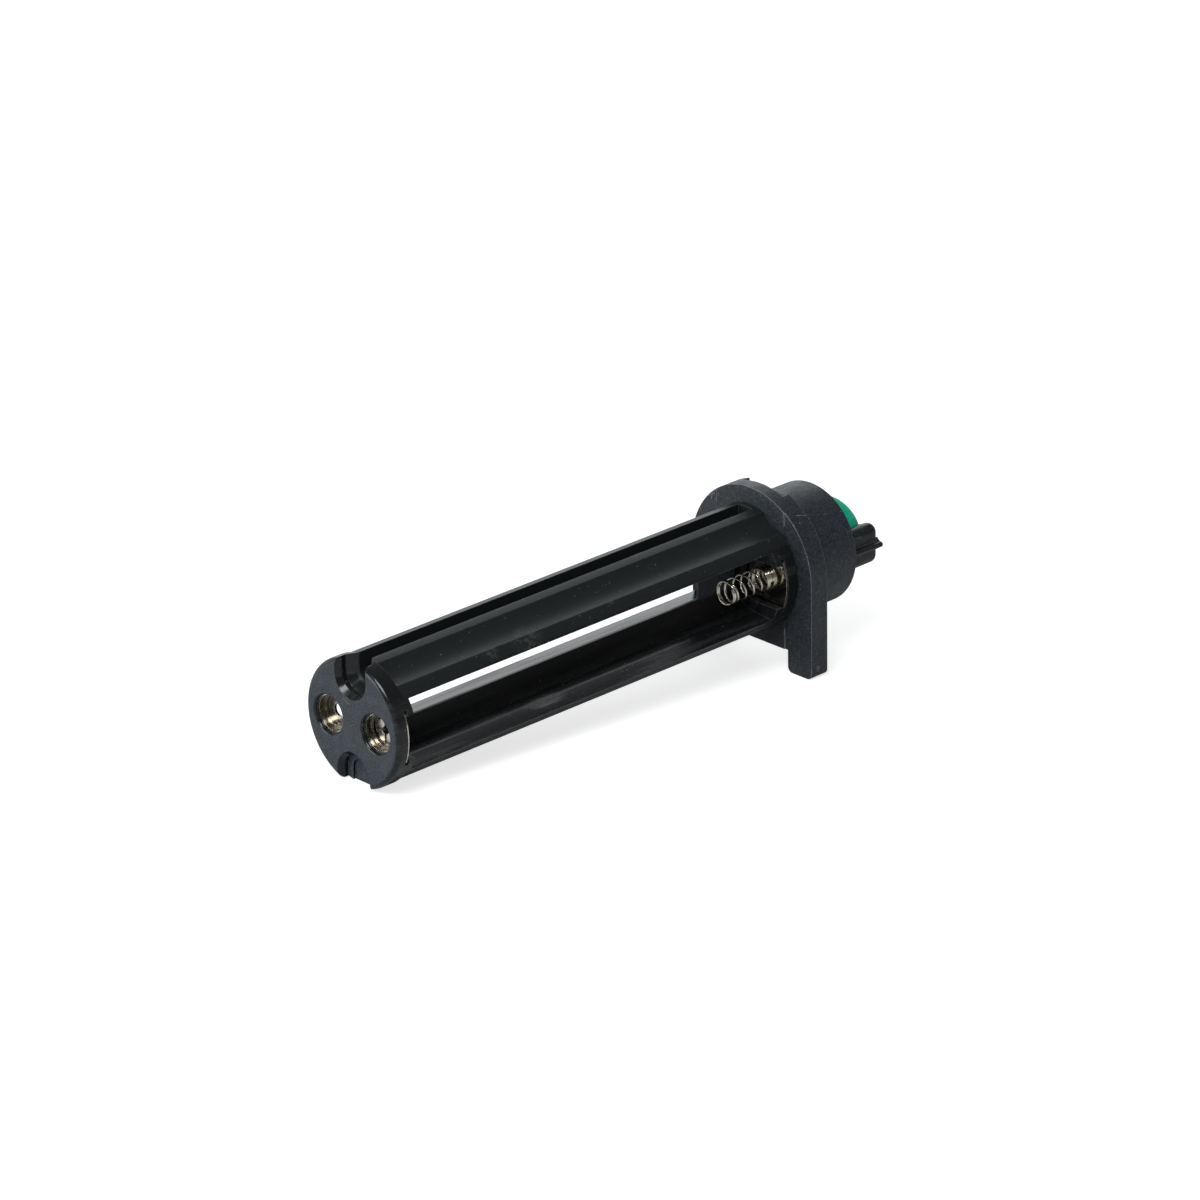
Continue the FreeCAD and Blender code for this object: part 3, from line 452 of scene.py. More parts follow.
def grain_group():
    """Fine texture of moulded plastic: its height, slow mottling and a painted highlight on the
    grains' peaks.
    """
    inputs = [("Position", VECTOR, None), ("Size", NUMBER, 0.24)]
    outputs = [("Height", NUMBER), ("Mottle", NUMBER), ("Tips", NUMBER)]
    nodes, start, end = new_group("moulded grain", inputs, outputs)
    scale = nodes.math("DIVIDE", 1.0, start["Size"])
    fine = nodes.noise(start["Position"], scale, detail=3.0, rough=0.6)
    cells = nodes.add("ShaderNodeTexVoronoi", {"Vector": start["Position"], "Scale": scale})
    pits = nodes.ramp(cells.outputs["Distance"], 0.1, 0.7)
    broad = nodes.noise(start["Position"], 0.45, detail=5.0, rough=0.62)
    nodes.feed(end["Height"], nodes.math("MULTIPLY_ADD", pits, PIT_SHARE, fine))
    nodes.feed(end["Mottle"], nodes.ramp(broad, 0.32, 0.68))
    # Painted highlight where the fine noise of the height peaks
    nodes.feed(end["Tips"], nodes.ramp(fine, 0.46, 0.64))
    return nodes.tree


def dust_group():
    """Loose specks of dust, at most one to each cell of the spacing."""
    inputs = [("Position", VECTOR, None), ("Spacing", NUMBER, 1.6), ("Amount", NUMBER, 0.3)]
    nodes, start, end = new_group("dust specks", inputs, [("Mask", NUMBER)])
    scale = nodes.math("DIVIDE", 1.0, start["Spacing"])
    ragged = nodes.product(nodes.noise(start["Position"], 9.0), SPECK_RAGGEDNESS)
    shifted = nodes.vector_math("ADD", start["Position"], ragged)
    cells = nodes.add("ShaderNodeTexVoronoi", {"Vector": shifted, "Scale": scale})
    pick = nodes.split(cells.outputs["Color"])
    size = nodes.product(pick["X"], start["Amount"])
    reach = nodes.product(size, size, LARGEST_SPECK)
    inside = nodes.math("SUBTRACT", reach, cells.outputs["Distance"])
    strength = nodes.math("MULTIPLY_ADD", pick["Y"], 1.0 - FAINTEST_SPECK, FAINTEST_SPECK)
    nodes.feed(end["Mask"], nodes.product(nodes.ramp(inside, 0.0, 0.012), strength))
    return nodes.tree


def scuff_and_sheen_group():
    """Scuffs with a painted highlight along sharp outer edges, broken up by noise apart from an
    even share.
    """
    inputs = [
        ("Position", VECTOR, None),
        ("Rounded Normal", VECTOR, None),
        ("Amount", NUMBER, 0.5),
        ("Even", NUMBER, 0.3),
    ]
    nodes, start, end = new_group("edge wear", inputs, [("Mask", NUMBER)])
    flat = nodes.add("ShaderNodeNewGeometry").outputs["Normal"]
    bend = nodes.ramp(nodes.inverse(nodes.dot(flat, start["Rounded Normal"])), 0.006, 0.1)
    broad = nodes.noise(start["Position"], 0.28, detail=6.0, rough=0.7)
    patch = nodes.math("MULTIPLY_ADD", nodes.ramp(broad, 0.45, 0.62), 0.6, 0.4)
    fine = nodes.ramp(nodes.noise(start["Position"], 3.1), 0.35, 0.7)
    broken = nodes.ramp(nodes.product(patch, fine), 0.0, 1.0, start["Even"], 1.0)
    nodes.feed(end["Mask"], nodes.product(bend, broken, start["Amount"]))
    return nodes.tree


def streak_group():
    """Fine lines along the tube, as a polished mould or a sliding cell leaves."""
    inputs = [("Position", VECTOR, None), ("Width", NUMBER, 0.12), ("Length", NUMBER, 9.0)]
    outputs = [("Height", NUMBER), ("Patch", NUMBER)]
    nodes, start, end = new_group("long streaks", inputs, outputs)
    across = nodes.math("DIVIDE", 1.0, start["Width"])
    along = nodes.math("DIVIDE", 1.0, start["Length"])
    drawn = nodes.stretched(start["Position"], nodes.joined(across, along, across))
    broad = nodes.stretched(start["Position"], STREAK_PATCH_SCALE)
    nodes.feed(end["Height"], nodes.noise(drawn, 1.0, detail=3.0, rough=0.6))
    nodes.feed(end["Patch"], nodes.ramp(nodes.noise(broad, 1.0, detail=3.0), 0.42, 0.66))
    return nodes.tree


def smudge_group():
    """A dry fingerprint: curved ridges inside one soft patch."""
    inputs = [("Position", VECTOR, None), ("Centre", VECTOR, None), ("Reach", NUMBER, 3.0)]
    nodes, start, end = new_group("finger smudge", inputs, [("Mask", NUMBER)])
    offset = nodes.vector_math("SUBTRACT", start["Position"], start["Centre"])
    away = nodes.length(offset)
    patch = nodes.ramp(nodes.math("DIVIDE", away, start["Reach"]), 0.25, 1.0, 1.0, 0.0)
    blot = nodes.ramp(nodes.noise(offset, 0.9, detail=4.0, rough=0.65), 0.42, 0.62)
    bent = nodes.noise(offset, 0.35, detail=1.0)
    phase = nodes.math("MULTIPLY_ADD", bent, RIDGE_BEND, nodes.product(away, RIDGE_SPREAD))
    wave = nodes.math("SINE", nodes.product(phase, RIDGE_RATE))
    ridges = nodes.math("MULTIPLY_ADD", wave, RIDGE_DEPTH, 1.0 - RIDGE_DEPTH)
    nodes.feed(end["Mask"], nodes.product(patch, blot, ridges))
    return nodes.tree


def hairline_group():
    """Sparse hairline scratches: parts of the thin lines where a slow noise is at its middle."""
    inputs = [("Position", VECTOR, None), ("Amount", NUMBER, 0.5)]
    nodes, start, end = new_group("hairlines", inputs, [("Mask", NUMBER)])
    masks = []
    for shift, scale in HAIRLINE_LAYERS:
        moved = nodes.vector_math("ADD", start["Position"], (shift, shift, shift))
        slow = nodes.noise(nodes.stretched(moved, scale), 1.0, detail=1.0)
        away = nodes.math("ABSOLUTE", nodes.math("SUBTRACT", slow, 0.5))
        line = nodes.ramp(away, 0.0, HAIRLINE_WIDTH, 1.0, 0.0)
        kept = nodes.ramp(nodes.noise(moved, 0.11), 0.55, 0.62)
        masks.append(nodes.product(line, kept))
    nodes.feed(end["Mask"], nodes.product(nodes.strongest(*masks), start["Amount"]))
    return nodes.tree


def scratch_group():
    """One straight scratch between two points."""
    inputs = [
        ("Position", VECTOR, None),
        ("From", VECTOR, None),
        ("To", VECTOR, None),
        ("Width", NUMBER, 0.12),
    ]
    nodes, start, end = new_group("scratch", inputs, [("Mask", NUMBER)])
    run = nodes.vector_math("SUBTRACT", start["To"], start["From"])
    offset = nodes.vector_math("SUBTRACT", start["Position"], start["From"])
    part = nodes.math("DIVIDE", nodes.dot(offset, run), nodes.dot(run, run), clamp=True)
    nearest = nodes.stretched(run, part)
    away = nodes.length(nodes.vector_math("SUBTRACT", offset, nearest))
    noise = nodes.noise(start["Position"], 1.7, detail=3.0)
    broken = nodes.ramp(noise, 0.3, 0.6, 0.25, 1.0)
    line = nodes.ramp(nodes.math("DIVIDE", away, start["Width"]), 0.4, 1.0, 1.0, 0.0)
    nodes.feed(end["Mask"], nodes.product(line, broken))
    return nodes.tree


GROUP_MAKERS = {
    "grain": grain_group,
    "hairlines": hairline_group,
    "scratch": scratch_group,
    "dust": dust_group,
    "wear": scuff_and_sheen_group,
    "streaks": streak_group,
    "smudge": smudge_group,
}


def shared(name):
    """A shared shader group, built the first time it is asked for."""
    label = "magazine " + name
    if label not in bpy.data.node_groups:
        GROUP_MAKERS[name]().name = label
    return bpy.data.node_groups[label]


def effect(nodes, name, position, inputs=None):
    """The outputs of a shared shader group placed in a material."""
    fed = {"Position": position, **(inputs or {})}
    return nodes.add("ShaderNodeGroup", fed, node_tree=shared(name)).outputs


def mask_of(nodes, name, position, inputs):
    """The mask of a shared shader group placed in a material."""
    return effect(nodes, name, position, inputs)["Mask"]


# Finishes


def settings():
    """The colours and finish that the panel shows."""
    return bpy.context.scene.magazine_finish


def rgba(colour):
    """An opaque colour."""
    return (*colour, 1.0)


def shade(colour, factor):
    """An opaque colour, made darker or lighter by a factor."""
    return rgba(tuple(c * factor for c in colour))


def new_material(name, colour):
    """A material with its tree emptied, its writer, and its place in millimetres as a socket."""
    material = bpy.data.materials.new(name)
    material.use_nodes = True
    material.diffuse_color = rgba(colour)
    material.node_tree.nodes.clear()
    nodes = Nodes(material.node_tree)
    place = nodes.add("ShaderNodeTexCoord").outputs["Object"]
    return material, nodes, nodes.stretched(place, (1 / MM, 1 / MM, 1 / MM))


def finish(nodes, inputs):
    """Close a material's tree with its shader."""
    shader = nodes.add("ShaderNodeBsdfPrincipled", inputs)
    nodes.add("ShaderNodeOutputMaterial", {"Surface": shader.outputs[0]})


def rounded_normal(nodes, radius):
    """The normal with every edge rounded."""
    return nodes.add("ShaderNodeBevel", {"Radius": radius}, samples=BEVEL_SAMPLES).outputs[0]


def bump(nodes, height, depth, normal):
    """The normal bent by a height from 0 to 1 that stands for a depth in metres."""
    inputs = {"Height": height, "Distance": depth, "Normal": normal}
    return nodes.add("ShaderNodeBump", inputs).outputs[0]


def scratches(nodes, position, marks):
    """The strongest of several scratches, each from one point to another."""
    masks = []
    for begin, close, width in marks:
        inputs = {"From": begin, "To": close, "Width": width}
        masks.append(mask_of(nodes, "scratch", position, inputs))
    return nodes.strongest(*masks)


def outer_edges(nodes, position):
    """1 on the housing's outer edges, 0 in the corner between flange and boss."""
    place = nodes.split(position)
    away = nodes.length(nodes.joined(x=place["X"], z=place["Z"]))
    rear = nodes.ramp(place["Y"], *BOSS_CLEAR)
    return nodes.strongest(nodes.ramp(away, *FLANGE_CLEAR), rear)


def textured_black(name, colour, rough=0.5, wear=0.8, dust=0.55, marks=(), edge_zone=None):
    """Black plastic out of a spark-textured mould; the last argument gives the mask of where edges
    show a pale line, scuffs with a painted highlight.
    """
    use = settings()
    material, nodes, position = new_material(name, colour)
    edge = rounded_normal(nodes, use.rounded_edge_width)
    texture = effect(nodes, "grain", position, {"Size": use.grain_size})
    # The pale line along sharp edges: scuffs with a painted highlight
    scuff_and_sheen_inputs = {"Rounded Normal": edge, "Amount": wear, "Even": 0.42}
    scuff_and_sheen_mask = mask_of(nodes, "wear", position, scuff_and_sheen_inputs)
    if edge_zone:
        scuff_and_sheen_mask = nodes.product(scuff_and_sheen_mask, edge_zone(nodes, position))
    specks = mask_of(nodes, "dust", position, {"Spacing": 1.1, "Amount": dust})
    lines = mask_of(nodes, "hairlines", position, {"Amount": wear * 0.3})
    pale = nodes.strongest(scuff_and_sheen_mask, specks, lines)
    if marks:
        pale = nodes.strongest(pale, nodes.product(scratches(nodes, position, marks), 0.4))
    base = nodes.blend(texture["Mottle"], shade(colour, 0.8), shade(colour, 1.2))
    # Painted highlight on the grain's peaks, up to 3.8 times the colour
    base = nodes.blend(texture["Tips"], base, shade(colour, 3.8))
    base = nodes.blend(pale, base, rgba(use.dust_and_sheen_colour))
    roughness = nodes.ramp(texture["Mottle"], 0.0, 1.0, rough - 0.06, rough + 0.06)
    normal = bump(nodes, texture["Height"], 0.05 * MM, edge)
    finish(nodes, {"Base Color": base, "Roughness": roughness, "Normal": normal})
    return material


def cradle_zones(nodes, position):
    """Masks of the cradle's faces that are finished in different ways."""
    place = nodes.split(position)
    side = nodes.math("ABSOLUTE", place["X"])
    ahead = nodes.ramp(place["Y"], *NOSE_FACE_END, 1.0, 0.0)
    facing = nodes.ramp(nodes.face_normal()["Y"], -0.9, -0.97)
    behind = nodes.ramp(place["Y"], *NOSE_DISC_END)
    channel = nodes.ramp(nodes.math("ABSOLUTE", place["Z"]), *CHANNEL_EDGE, 1.0, 0.0)
    slope = nodes.ramp(side, *SLOPE_EDGE, 1.0, 0.0)
    middle = nodes.ramp(side, *WEB_SIDE, 1.0, 0.0)
    return {
        "nose": nodes.product(ahead, facing),
        "channel": channel,
        "beams": nodes.product(behind, nodes.inverse(channel)),
        "slopes": nodes.product(slope, channel, behind),
        "web": nodes.product(middle, channel, nodes.ramp(place["Y"], *WEB_FACE)),
    }


def cradle_marks(nodes, position, lines):
    """Masks of the finger smudges, the rubbed patch in the channel, which is lightened as a painted
    reflection of light through the window, and the nose's nick.
    """
    smudges = []
    for centre, reach in SMUDGES:
        inputs = {"Centre": centre, "Reach": reach}
        smudges.append(mask_of(nodes, "smudge", position, inputs))
    from_patch = nodes.vector_math("SUBTRACT", position, RUBBED_REFLECTION_PLACE)
    away = nodes.length(nodes.stretched(from_patch, RUBBED_REFLECTION_SCALE))
    patch = nodes.ramp(away, 0.35, 1.0, 1.0, 0.0)
    rub_and_reflection = nodes.product(patch, nodes.ramp(lines["Height"], 0.44, 0.6))
    return nodes.strongest(*smudges), rub_and_reflection, scratches(nodes, position, NOSE_NICKS)


def cradle_black():
    """Polished channels, satin beams and a textured nose face, all in one black moulding."""
    use = settings()
    dust_and_sheen_tone = rgba(use.dust_and_sheen_colour)
    material, nodes, position = new_material("cradle_plastic", use.cradle_colour)
    edge = rounded_normal(nodes, 0.14 * MM)
    zones = cradle_zones(nodes, position)
    texture = effect(nodes, "grain", position, {"Size": use.grain_size})
    lines = effect(nodes, "streaks", position)
    smudged, rub_and_reflection, nick = cradle_marks(nodes, position, lines)
    slid = nodes.product(lines["Patch"], lines["Height"], zones["channel"])
    # Pale marks: scuffs with a painted highlight along edges, dust, hairlines and smudges, the
    # rubbed patch lightened as a painted reflection of light through the window, and the nick
    pale = nodes.strongest(
        mask_of(nodes, "wear", position, {"Rounded Normal": edge, "Amount": 0.5}),
        mask_of(nodes, "dust", position, {"Spacing": 0.8, "Amount": 0.58}),
        mask_of(nodes, "dust", position, {"Spacing": 2.6, "Amount": 0.36}),
        mask_of(nodes, "hairlines", position, {"Amount": 0.08}),
        nodes.product(smudged, 0.15),
        nodes.product(rub_and_reflection, 0.3),
        nodes.product(nick, 0.2),
    )
    # Painted highlight on the grain's peaks of the nose face
    face = nodes.blend(texture["Tips"], rgba(use.nose_colour), shade(use.nose_colour, 2.9))
    base = nodes.blend(zones["beams"], rgba(use.cradle_colour), rgba(use.beam_colour))
    base = nodes.blend(zones["web"], base, shade(use.nose_colour, 2.0))
    base = nodes.blend(zones["nose"], base, face)
    base = nodes.blend(nodes.product(slid, 0.05), base, dust_and_sheen_tone)
    base = nodes.blend(pale, base, dust_and_sheen_tone)
    # Polished channels, duller where cells slid or fingers touched; satin beams
    rough = nodes.ramp(slid, 0.0, 0.6, 0.17, 0.36)
    dulled = nodes.strongest(smudged, zones["web"], rub_and_reflection)
    for mask, more in ((zones["beams"], 0.3), (zones["slopes"], 0.16), (dulled, 0.2)):
        rough = nodes.math("MULTIPLY_ADD", mask, more, rough)
    rough = nodes.ramp(zones["nose"], 0.0, 1.0, rough, 0.52)
    # Full grain on the nose face alone; long streaks everywhere else
    grain = nodes.product(texture["Height"], nodes.ramp(zones["nose"], 0.0, 1.0, 0.06, 1.0))
    drawn = nodes.math("MULTIPLY_ADD", zones["slopes"], 0.3, 0.09)
    drawn = nodes.product(drawn, nodes.inverse(zones["nose"]))
    relief = nodes.math("MULTIPLY_ADD", lines["Height"], drawn, grain)
    finish(nodes, {
        "Base Color": base,
        "Roughness": rough,
        "Specular IOR Level": 0.4,
        "Normal": bump(nodes, relief, 0.03 * MM, edge),
    })
    return material


def dome_green():
    """Coloured plastic with a satin skin."""
    use = settings()
    colour = use.dome_colour
    material, nodes, position = new_material("dome_green", colour)
    edge = rounded_normal(nodes, 0.2 * MM)
    texture = effect(nodes, "grain", position, {"Size": use.grain_size})
    specks = mask_of(nodes, "dust", position, {"Spacing": 1.7, "Amount": 0.4})
    base = nodes.blend(texture["Mottle"], rgba(colour), shade(colour, 0.86))
    base = nodes.blend(nodes.product(specks, 0.5), base, rgba(use.dust_and_sheen_colour))
    finish(nodes, {
        "Base Color": base,
        "Roughness": nodes.ramp(texture["Mottle"], 0.0, 1.0, 0.46, 0.54),
        "Specular IOR Level": 0.06,
        "Normal": bump(nodes, texture["Height"], 0.008 * MM, edge),
    })
    return material


def cup_colour_and_shade(nodes, position, wall, face):
    """The cups' walls in a colour darkened as painted shade, more so upwards, and their faces to
    the front in another.
    """
    height = nodes.split(position)["Z"]
    # Painted shade: the wall's upper part a quarter as bright as its lower part
    side = nodes.blend(nodes.ramp(height, -0.6, -2.6), shade(wall, 0.25), rgba(wall))
    return nodes.blend(nodes.ramp(nodes.face_normal()["Y"], -0.15, -0.7), side, rgba(face))


def plated_metal(name, colour, rough, tarnish, wall=None):
    """Nickel plate with faint drawing lines along the tube and soft, browner patches; a wall colour
    gives the cups' walls painted shade.
    """
    material, nodes, position = new_material(name, colour)
    edge = rounded_normal(nodes, 0.06 * MM)
    lines = effect(nodes, "streaks", position, {"Width": 0.05, "Length": 1.4})
    stain = nodes.ramp(nodes.noise(position, 0.35, detail=3.0), 0.45, 0.7)
    brown = rgba(tuple(c * share for c, share in zip(colour, TARNISH_TINT)))
    base = cup_colour_and_shade(nodes, position, wall, colour) if wall else rgba(colour)
    base = nodes.blend(nodes.product(stain, tarnish), base, brown)
    groove = nodes.inverse(nodes.ramp(lines["Height"], 0.3, 0.5))
    grooved = nodes.product(groove, 0.2 if wall else 0.4)
    base = nodes.blend(grooved, base, shade(wall or colour, 0.72))
    finish(nodes, {
        "Base Color": base,
        "Metallic": 1.0,
        "Roughness": nodes.ramp(stain, 0.0, 1.0, rough, rough + 0.06),
        "Normal": bump(nodes, lines["Height"], 0.0012 * MM, edge),
    })
    return material


def seal_black():
    """Dull rubber of the shaft seal."""
    material, nodes, position = new_material("seal_rubber", SEAL_COLOUR)
    edge = rounded_normal(nodes, settings().rounded_edge_width)
    texture = effect(nodes, "grain", position, {"Size": 0.08})
    base = nodes.blend(texture["Mottle"], rgba(SEAL_COLOUR), shade(SEAL_COLOUR, 1.6))
    normal = bump(nodes, texture["Height"], 0.006 * MM, edge)
    finish(nodes, {"Base Color": base, "Roughness": 0.7, "Normal": normal})
    return material


def coat(names, material):
    """Give CAD nodes a material."""
    for name in names:
        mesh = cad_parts[name].data
        mesh.materials.clear()
        mesh.materials.append(material)


# Springs


def spring_tree():
    """Geometry nodes for a coil spring with closed ends, wound along -Y."""
    inputs = [
        ("Geometry", "NodeSocketGeometry", None),
        ("Coil Radius", NUMBER, 0.0025),
        ("Wire Radius", NUMBER, 0.0002),
        ("Base Turns", NUMBER, 1.0),
        ("Active Turns", NUMBER, 4.0),
        ("Tip Turns", NUMBER, 1.0),
        ("Closed Pitch", NUMBER, 0.0005),
        ("Active Pitch", NUMBER, 0.002),
        ("Base", VECTOR, None),
        ("Steps", "NodeSocketInt", 24),
        ("Sides", "NodeSocketInt", 12),
        ("Finish", "NodeSocketMaterial", None),
    ]
    outputs = [("Geometry", "NodeSocketGeometry")]
    nodes, start, end = new_group("cell spring", inputs, outputs, "GeometryNodeTree")
    turns = nodes.math("ADD", start["Base Turns"], start["Active Turns"])
    turns = nodes.math("ADD", turns, start["Tip Turns"])
    steps = nodes.math("ROUND", nodes.product(turns, start["Steps"]))
    count = nodes.math("ADD", steps, 1.0)
    line = nodes.add("GeometryNodeMeshLine", {"Count": count}).outputs[0]
    index = nodes.add("GeometryNodeInputIndex").outputs[0]
    part = nodes.math("DIVIDE", index, nodes.math("SUBTRACT", count, 1.0))
    turn = nodes.product(part, turns)
    past_base = nodes.math("SUBTRACT", turn, start["Base Turns"])
    past_base = nodes.math("MAXIMUM", past_base, 0.0)
    open_turns = nodes.math("MINIMUM", past_base, start["Active Turns"])
    closed_turns = nodes.math("SUBTRACT", turn, open_turns)
    open_climb = nodes.product(open_turns, start["Active Pitch"])
    climb = nodes.math("MULTIPLY_ADD", closed_turns, start["Closed Pitch"], open_climb)
    angle = nodes.product(turn, math.tau)
    offset = nodes.joined(
        nodes.product(nodes.math("COSINE", angle), start["Coil Radius"]),
        nodes.product(climb, -1.0),
        nodes.product(nodes.math("SINE", angle), start["Coil Radius"]),
    )
    place = nodes.vector_math("ADD", offset, start["Base"])
    moved = nodes.add("GeometryNodeSetPosition", {"Geometry": line, "Position": place})
    curve = nodes.add("GeometryNodeMeshToCurve", {"Mesh": moved.outputs[0]})
    section = {"Resolution": start["Sides"], "Radius": start["Wire Radius"]}
    ring = nodes.add("GeometryNodeCurvePrimitiveCircle", section)
    swept = {"Curve": curve.outputs[0], "Profile Curve": ring.outputs[0], "Fill Caps": True}
    wire = nodes.add("GeometryNodeCurveToMesh", swept)
    real = nodes.add("GeometryNodeRealizeInstances", {"Geometry": wire.outputs[0]})
    smooth = nodes.add("GeometryNodeSetShadeSmooth", {"Geometry": real.outputs[0]})
    finished = {"Geometry": smooth.outputs[0], "Material": start["Finish"]}
    done = nodes.add("GeometryNodeSetMaterial", finished)
    nodes.feed(end["Geometry"], done.outputs[0])
    return nodes.tree


def modifier_inputs(modifier, values):
    """Set a geometry nodes modifier's inputs by their sockets' identifiers."""
    names = {
        item.name: item.identifier
        for item in modifier.node_group.interface.items_tree
        if item.item_type == "SOCKET" and item.in_out == "INPUT"
    }
    for name, value in values.items():
        modifier[names[name]] = value


def plain_mesh(piece):
    """Replace the piece's modifiers by the mesh that they make."""
    bpy.context.view_layer.update()
    evaluated = piece.evaluated_get(bpy.context.evaluated_depsgraph_get())
    mesh = bpy.data.meshes.new_from_object(evaluated)
    if not mesh.polygons:
        raise RuntimeError(piece.name + " came out empty")
    piece.modifiers.clear()
    piece.data = mesh
    mesh.name = piece.name


def wind_spring(side, tree, material):
    """Wind one spring into the box of its CAD node, and let it replace that node."""
    use = bpy.context.scene.magazine_springs
    low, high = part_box("spring_" + side)
    wire = use.wire / 2
    closed_pitch = use.wire + CLOSED_GAP
    closed = use.base_turns + use.tip_turns
    rise = high.y - low.y - use.wire
    centre = (low + high) / 2
    name = "cell_spring_" + side
    piece = bpy.data.objects.new(name, bpy.data.meshes.new(name))
    bpy.context.scene.collection.objects.link(piece)
    modifier = piece.modifiers.new("spring", "NODES")
    modifier.node_group = tree
    modifier_inputs(modifier, {
        "Coil Radius": (high.z - low.z) / 2 - wire,
        "Wire Radius": wire,
        "Base Turns": use.base_turns,
        "Active Turns": use.active_turns,
        "Tip Turns": use.tip_turns,
        "Closed Pitch": closed_pitch,
        "Active Pitch": (rise - closed_pitch * closed) / use.active_turns,
        "Base": (centre.x, high.y - wire, centre.z),
        "Steps": use.steps,
        "Sides": use.sides,
        "Finish": material,
    })
    plain_mesh(piece)
    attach(piece, "magazine")
    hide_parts("spring_" + side)


# Stage


def ray_kinds(nodes):
    """1 for what the camera sees directly, and 1 for what it sees mirrored or through glass."""
    path = nodes.add("ShaderNodeLightPath").outputs
    mirrored = nodes.strongest(path["Is Glossy Ray"], path["Is Transmission Ray"])
    return path["Is Camera Ray"], mirrored


def floor_paper(use):
    """Pale paper that the camera sees as nearly white, and mirrors as white on one side."""
    material, nodes, position = new_material("floor_paper", use.floor_colour)
    direct, mirrored = ray_kinds(nodes)
    side = nodes.split(position)["X"]
    white = nodes.product(mirrored, nodes.ramp(side, *FLOOR_WHITE_SIDE, 0.0, FLOOR_MIRRORED))
    finish(nodes, {
        "Base Color": rgba(use.floor_colour),
        "Roughness": nodes.ramp(nodes.noise(position, 0.9), 0.3, 0.7, 0.85, 0.95),
        "Specular IOR Level": 0.0,
        "Emission Color": WHITE,
        "Emission Strength": nodes.strongest(nodes.product(direct, FLOOR_SEEN), white),
    })
    return material


def lay_floor(use):
    """A wide pale floor through the tube's underside and the feet."""
    foot_low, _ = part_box("flange_housing")
    rest = Vector(use.nose_rest)
    slope = (foot_low.z - rest.z) / (foot_low.y - rest.y)
    half = use.floor_span / 2
    corners = [(-half, -half), (half, -half), (half, half), (-half, half)]
    points = [(x, y, rest.z + slope * (y - rest.y)) for x, y in corners]
    mesh = bpy.data.meshes.new("floor")
    mesh.from_pydata(points, [], [(0, 1, 2, 3)])
    mesh.materials.append(floor_paper(use))
    floor = bpy.data.objects.new("floor", mesh)
    bpy.context.scene.collection.objects.link(floor)


def light_world(use):
    """Even grey light; the camera sees it as white, and mirrors as white on one side."""
    world = bpy.data.worlds.new("studio")
    world.use_nodes = True
    world.node_tree.nodes.clear()
    nodes = Nodes(world.node_tree)
    direct, mirrored = ray_kinds(nodes)
    outward = nodes.add("ShaderNodeTexCoord").outputs["Object"]
    towards = nodes.dot(outward, tuple(use.white_side))
    low = nodes.ramp(nodes.split(outward)["Z"], 0.12, 0.4, 1.0, 0.1)
    side = nodes.ramp(towards, -0.2, 0.7, 0.0, WORLD_MIRRORED)
    white = nodes.math("MULTIPLY_ADD", side, low, 0.1)
    strength = nodes.ramp(mirrored, 0.0, 1.0, use.world_light, white)
    strength = nodes.ramp(direct, 0.0, 1.0, strength, 1.0)
    backdrop = nodes.add("ShaderNodeBackground", {"Color": WHITE, "Strength": strength})
    nodes.add("ShaderNodeOutputWorld", {"Surface": backdrop.outputs[0]})
    bpy.context.scene.world = world


def add_softbox(name, power, colour, place, size):
    """A square lamp that looks at the part's middle."""
    lamp = bpy.data.lights.new(name, "AREA")
    lamp.shape = "SQUARE"
    lamp.size = size
    lamp.energy = power
    lamp.color = colour
    holder = bpy.data.objects.new(name, lamp)
    bpy.context.scene.collection.objects.link(holder)
    holder.location = place
    direction = Vector(LIGHT_AIM) - Vector(place)
    holder.rotation_euler = direction.to_track_quat("-Z", "Y").to_euler()


def add_camera(use):
    """The camera at the photograph's own angle."""
    data = bpy.data.cameras.new("camera")
    data.lens = use.camera_lens
    data.sensor_width = SENSOR_WIDTH
    camera = bpy.data.objects.new("camera", data)
    bpy.context.scene.collection.objects.link(camera)
    camera.location = use.camera_place
    camera.rotation_euler = use.camera_turn
    bpy.context.scene.camera = camera


# Operators


class MAGAZINE_OT_cradle(bpy.types.Operator):
    """Finish the cell cradle"""

    bl_idname = "magazine.cradle"
    bl_label = "Finish cradle"

    def execute(self, context):
        coat(["cell_cradle"], cradle_black())
        return {"FINISHED"}


class MAGAZINE_OT_housing(bpy.types.Operator):
    """Finish the flange housing"""

    bl_idname = "magazine.housing"
    bl_label = "Finish housing"

    def execute(self, context):
        colour = settings().housing_colour
        marks = HOUSING_SCRATCHES
        material = textured_black("housing_plastic", colour, marks=marks, edge_zone=outer_edges)
        coat(["flange_housing"], material)
        return {"FINISHED"}


class MAGAZINE_OT_contacts(bpy.types.Operator):
    """Finish the cell contacts and the cups in the nose"""

    bl_idname = "magazine.contacts"
    bl_label = "Finish contacts"

    def execute(self, context):
        use = settings()
        contacts = plated_metal("contact_metal", use.nickel_colour, rough=0.09, tarnish=0.6)
        coat(["contact_plate_left", "contact_plate_right", "bridge_plate"], contacts)
        # The cups' walls take a colour darkened as painted shade
        wall = use.cup_wall_shade_colour
        cups = plated_metal("cup_metal", use.spring_colour, rough=0.2, tarnish=0.1, wall=wall)
        coat(["socket_cup_left", "socket_cup_right"], cups)
        return {"FINISHED"}


class MAGAZINE_OT_springs(bpy.types.Operator):
    """Wind the two cell springs"""

    bl_idname = "magazine.springs"
    bl_label = "Wind springs"

    def execute(self, context):
        tree = spring_tree()
        colour = settings().spring_colour
        material = plated_metal("spring_metal", colour, rough=0.18, tarnish=0.2)
        for side in SPRING_SIDES:
            wind_spring(side, tree, material)
        return {"FINISHED"}


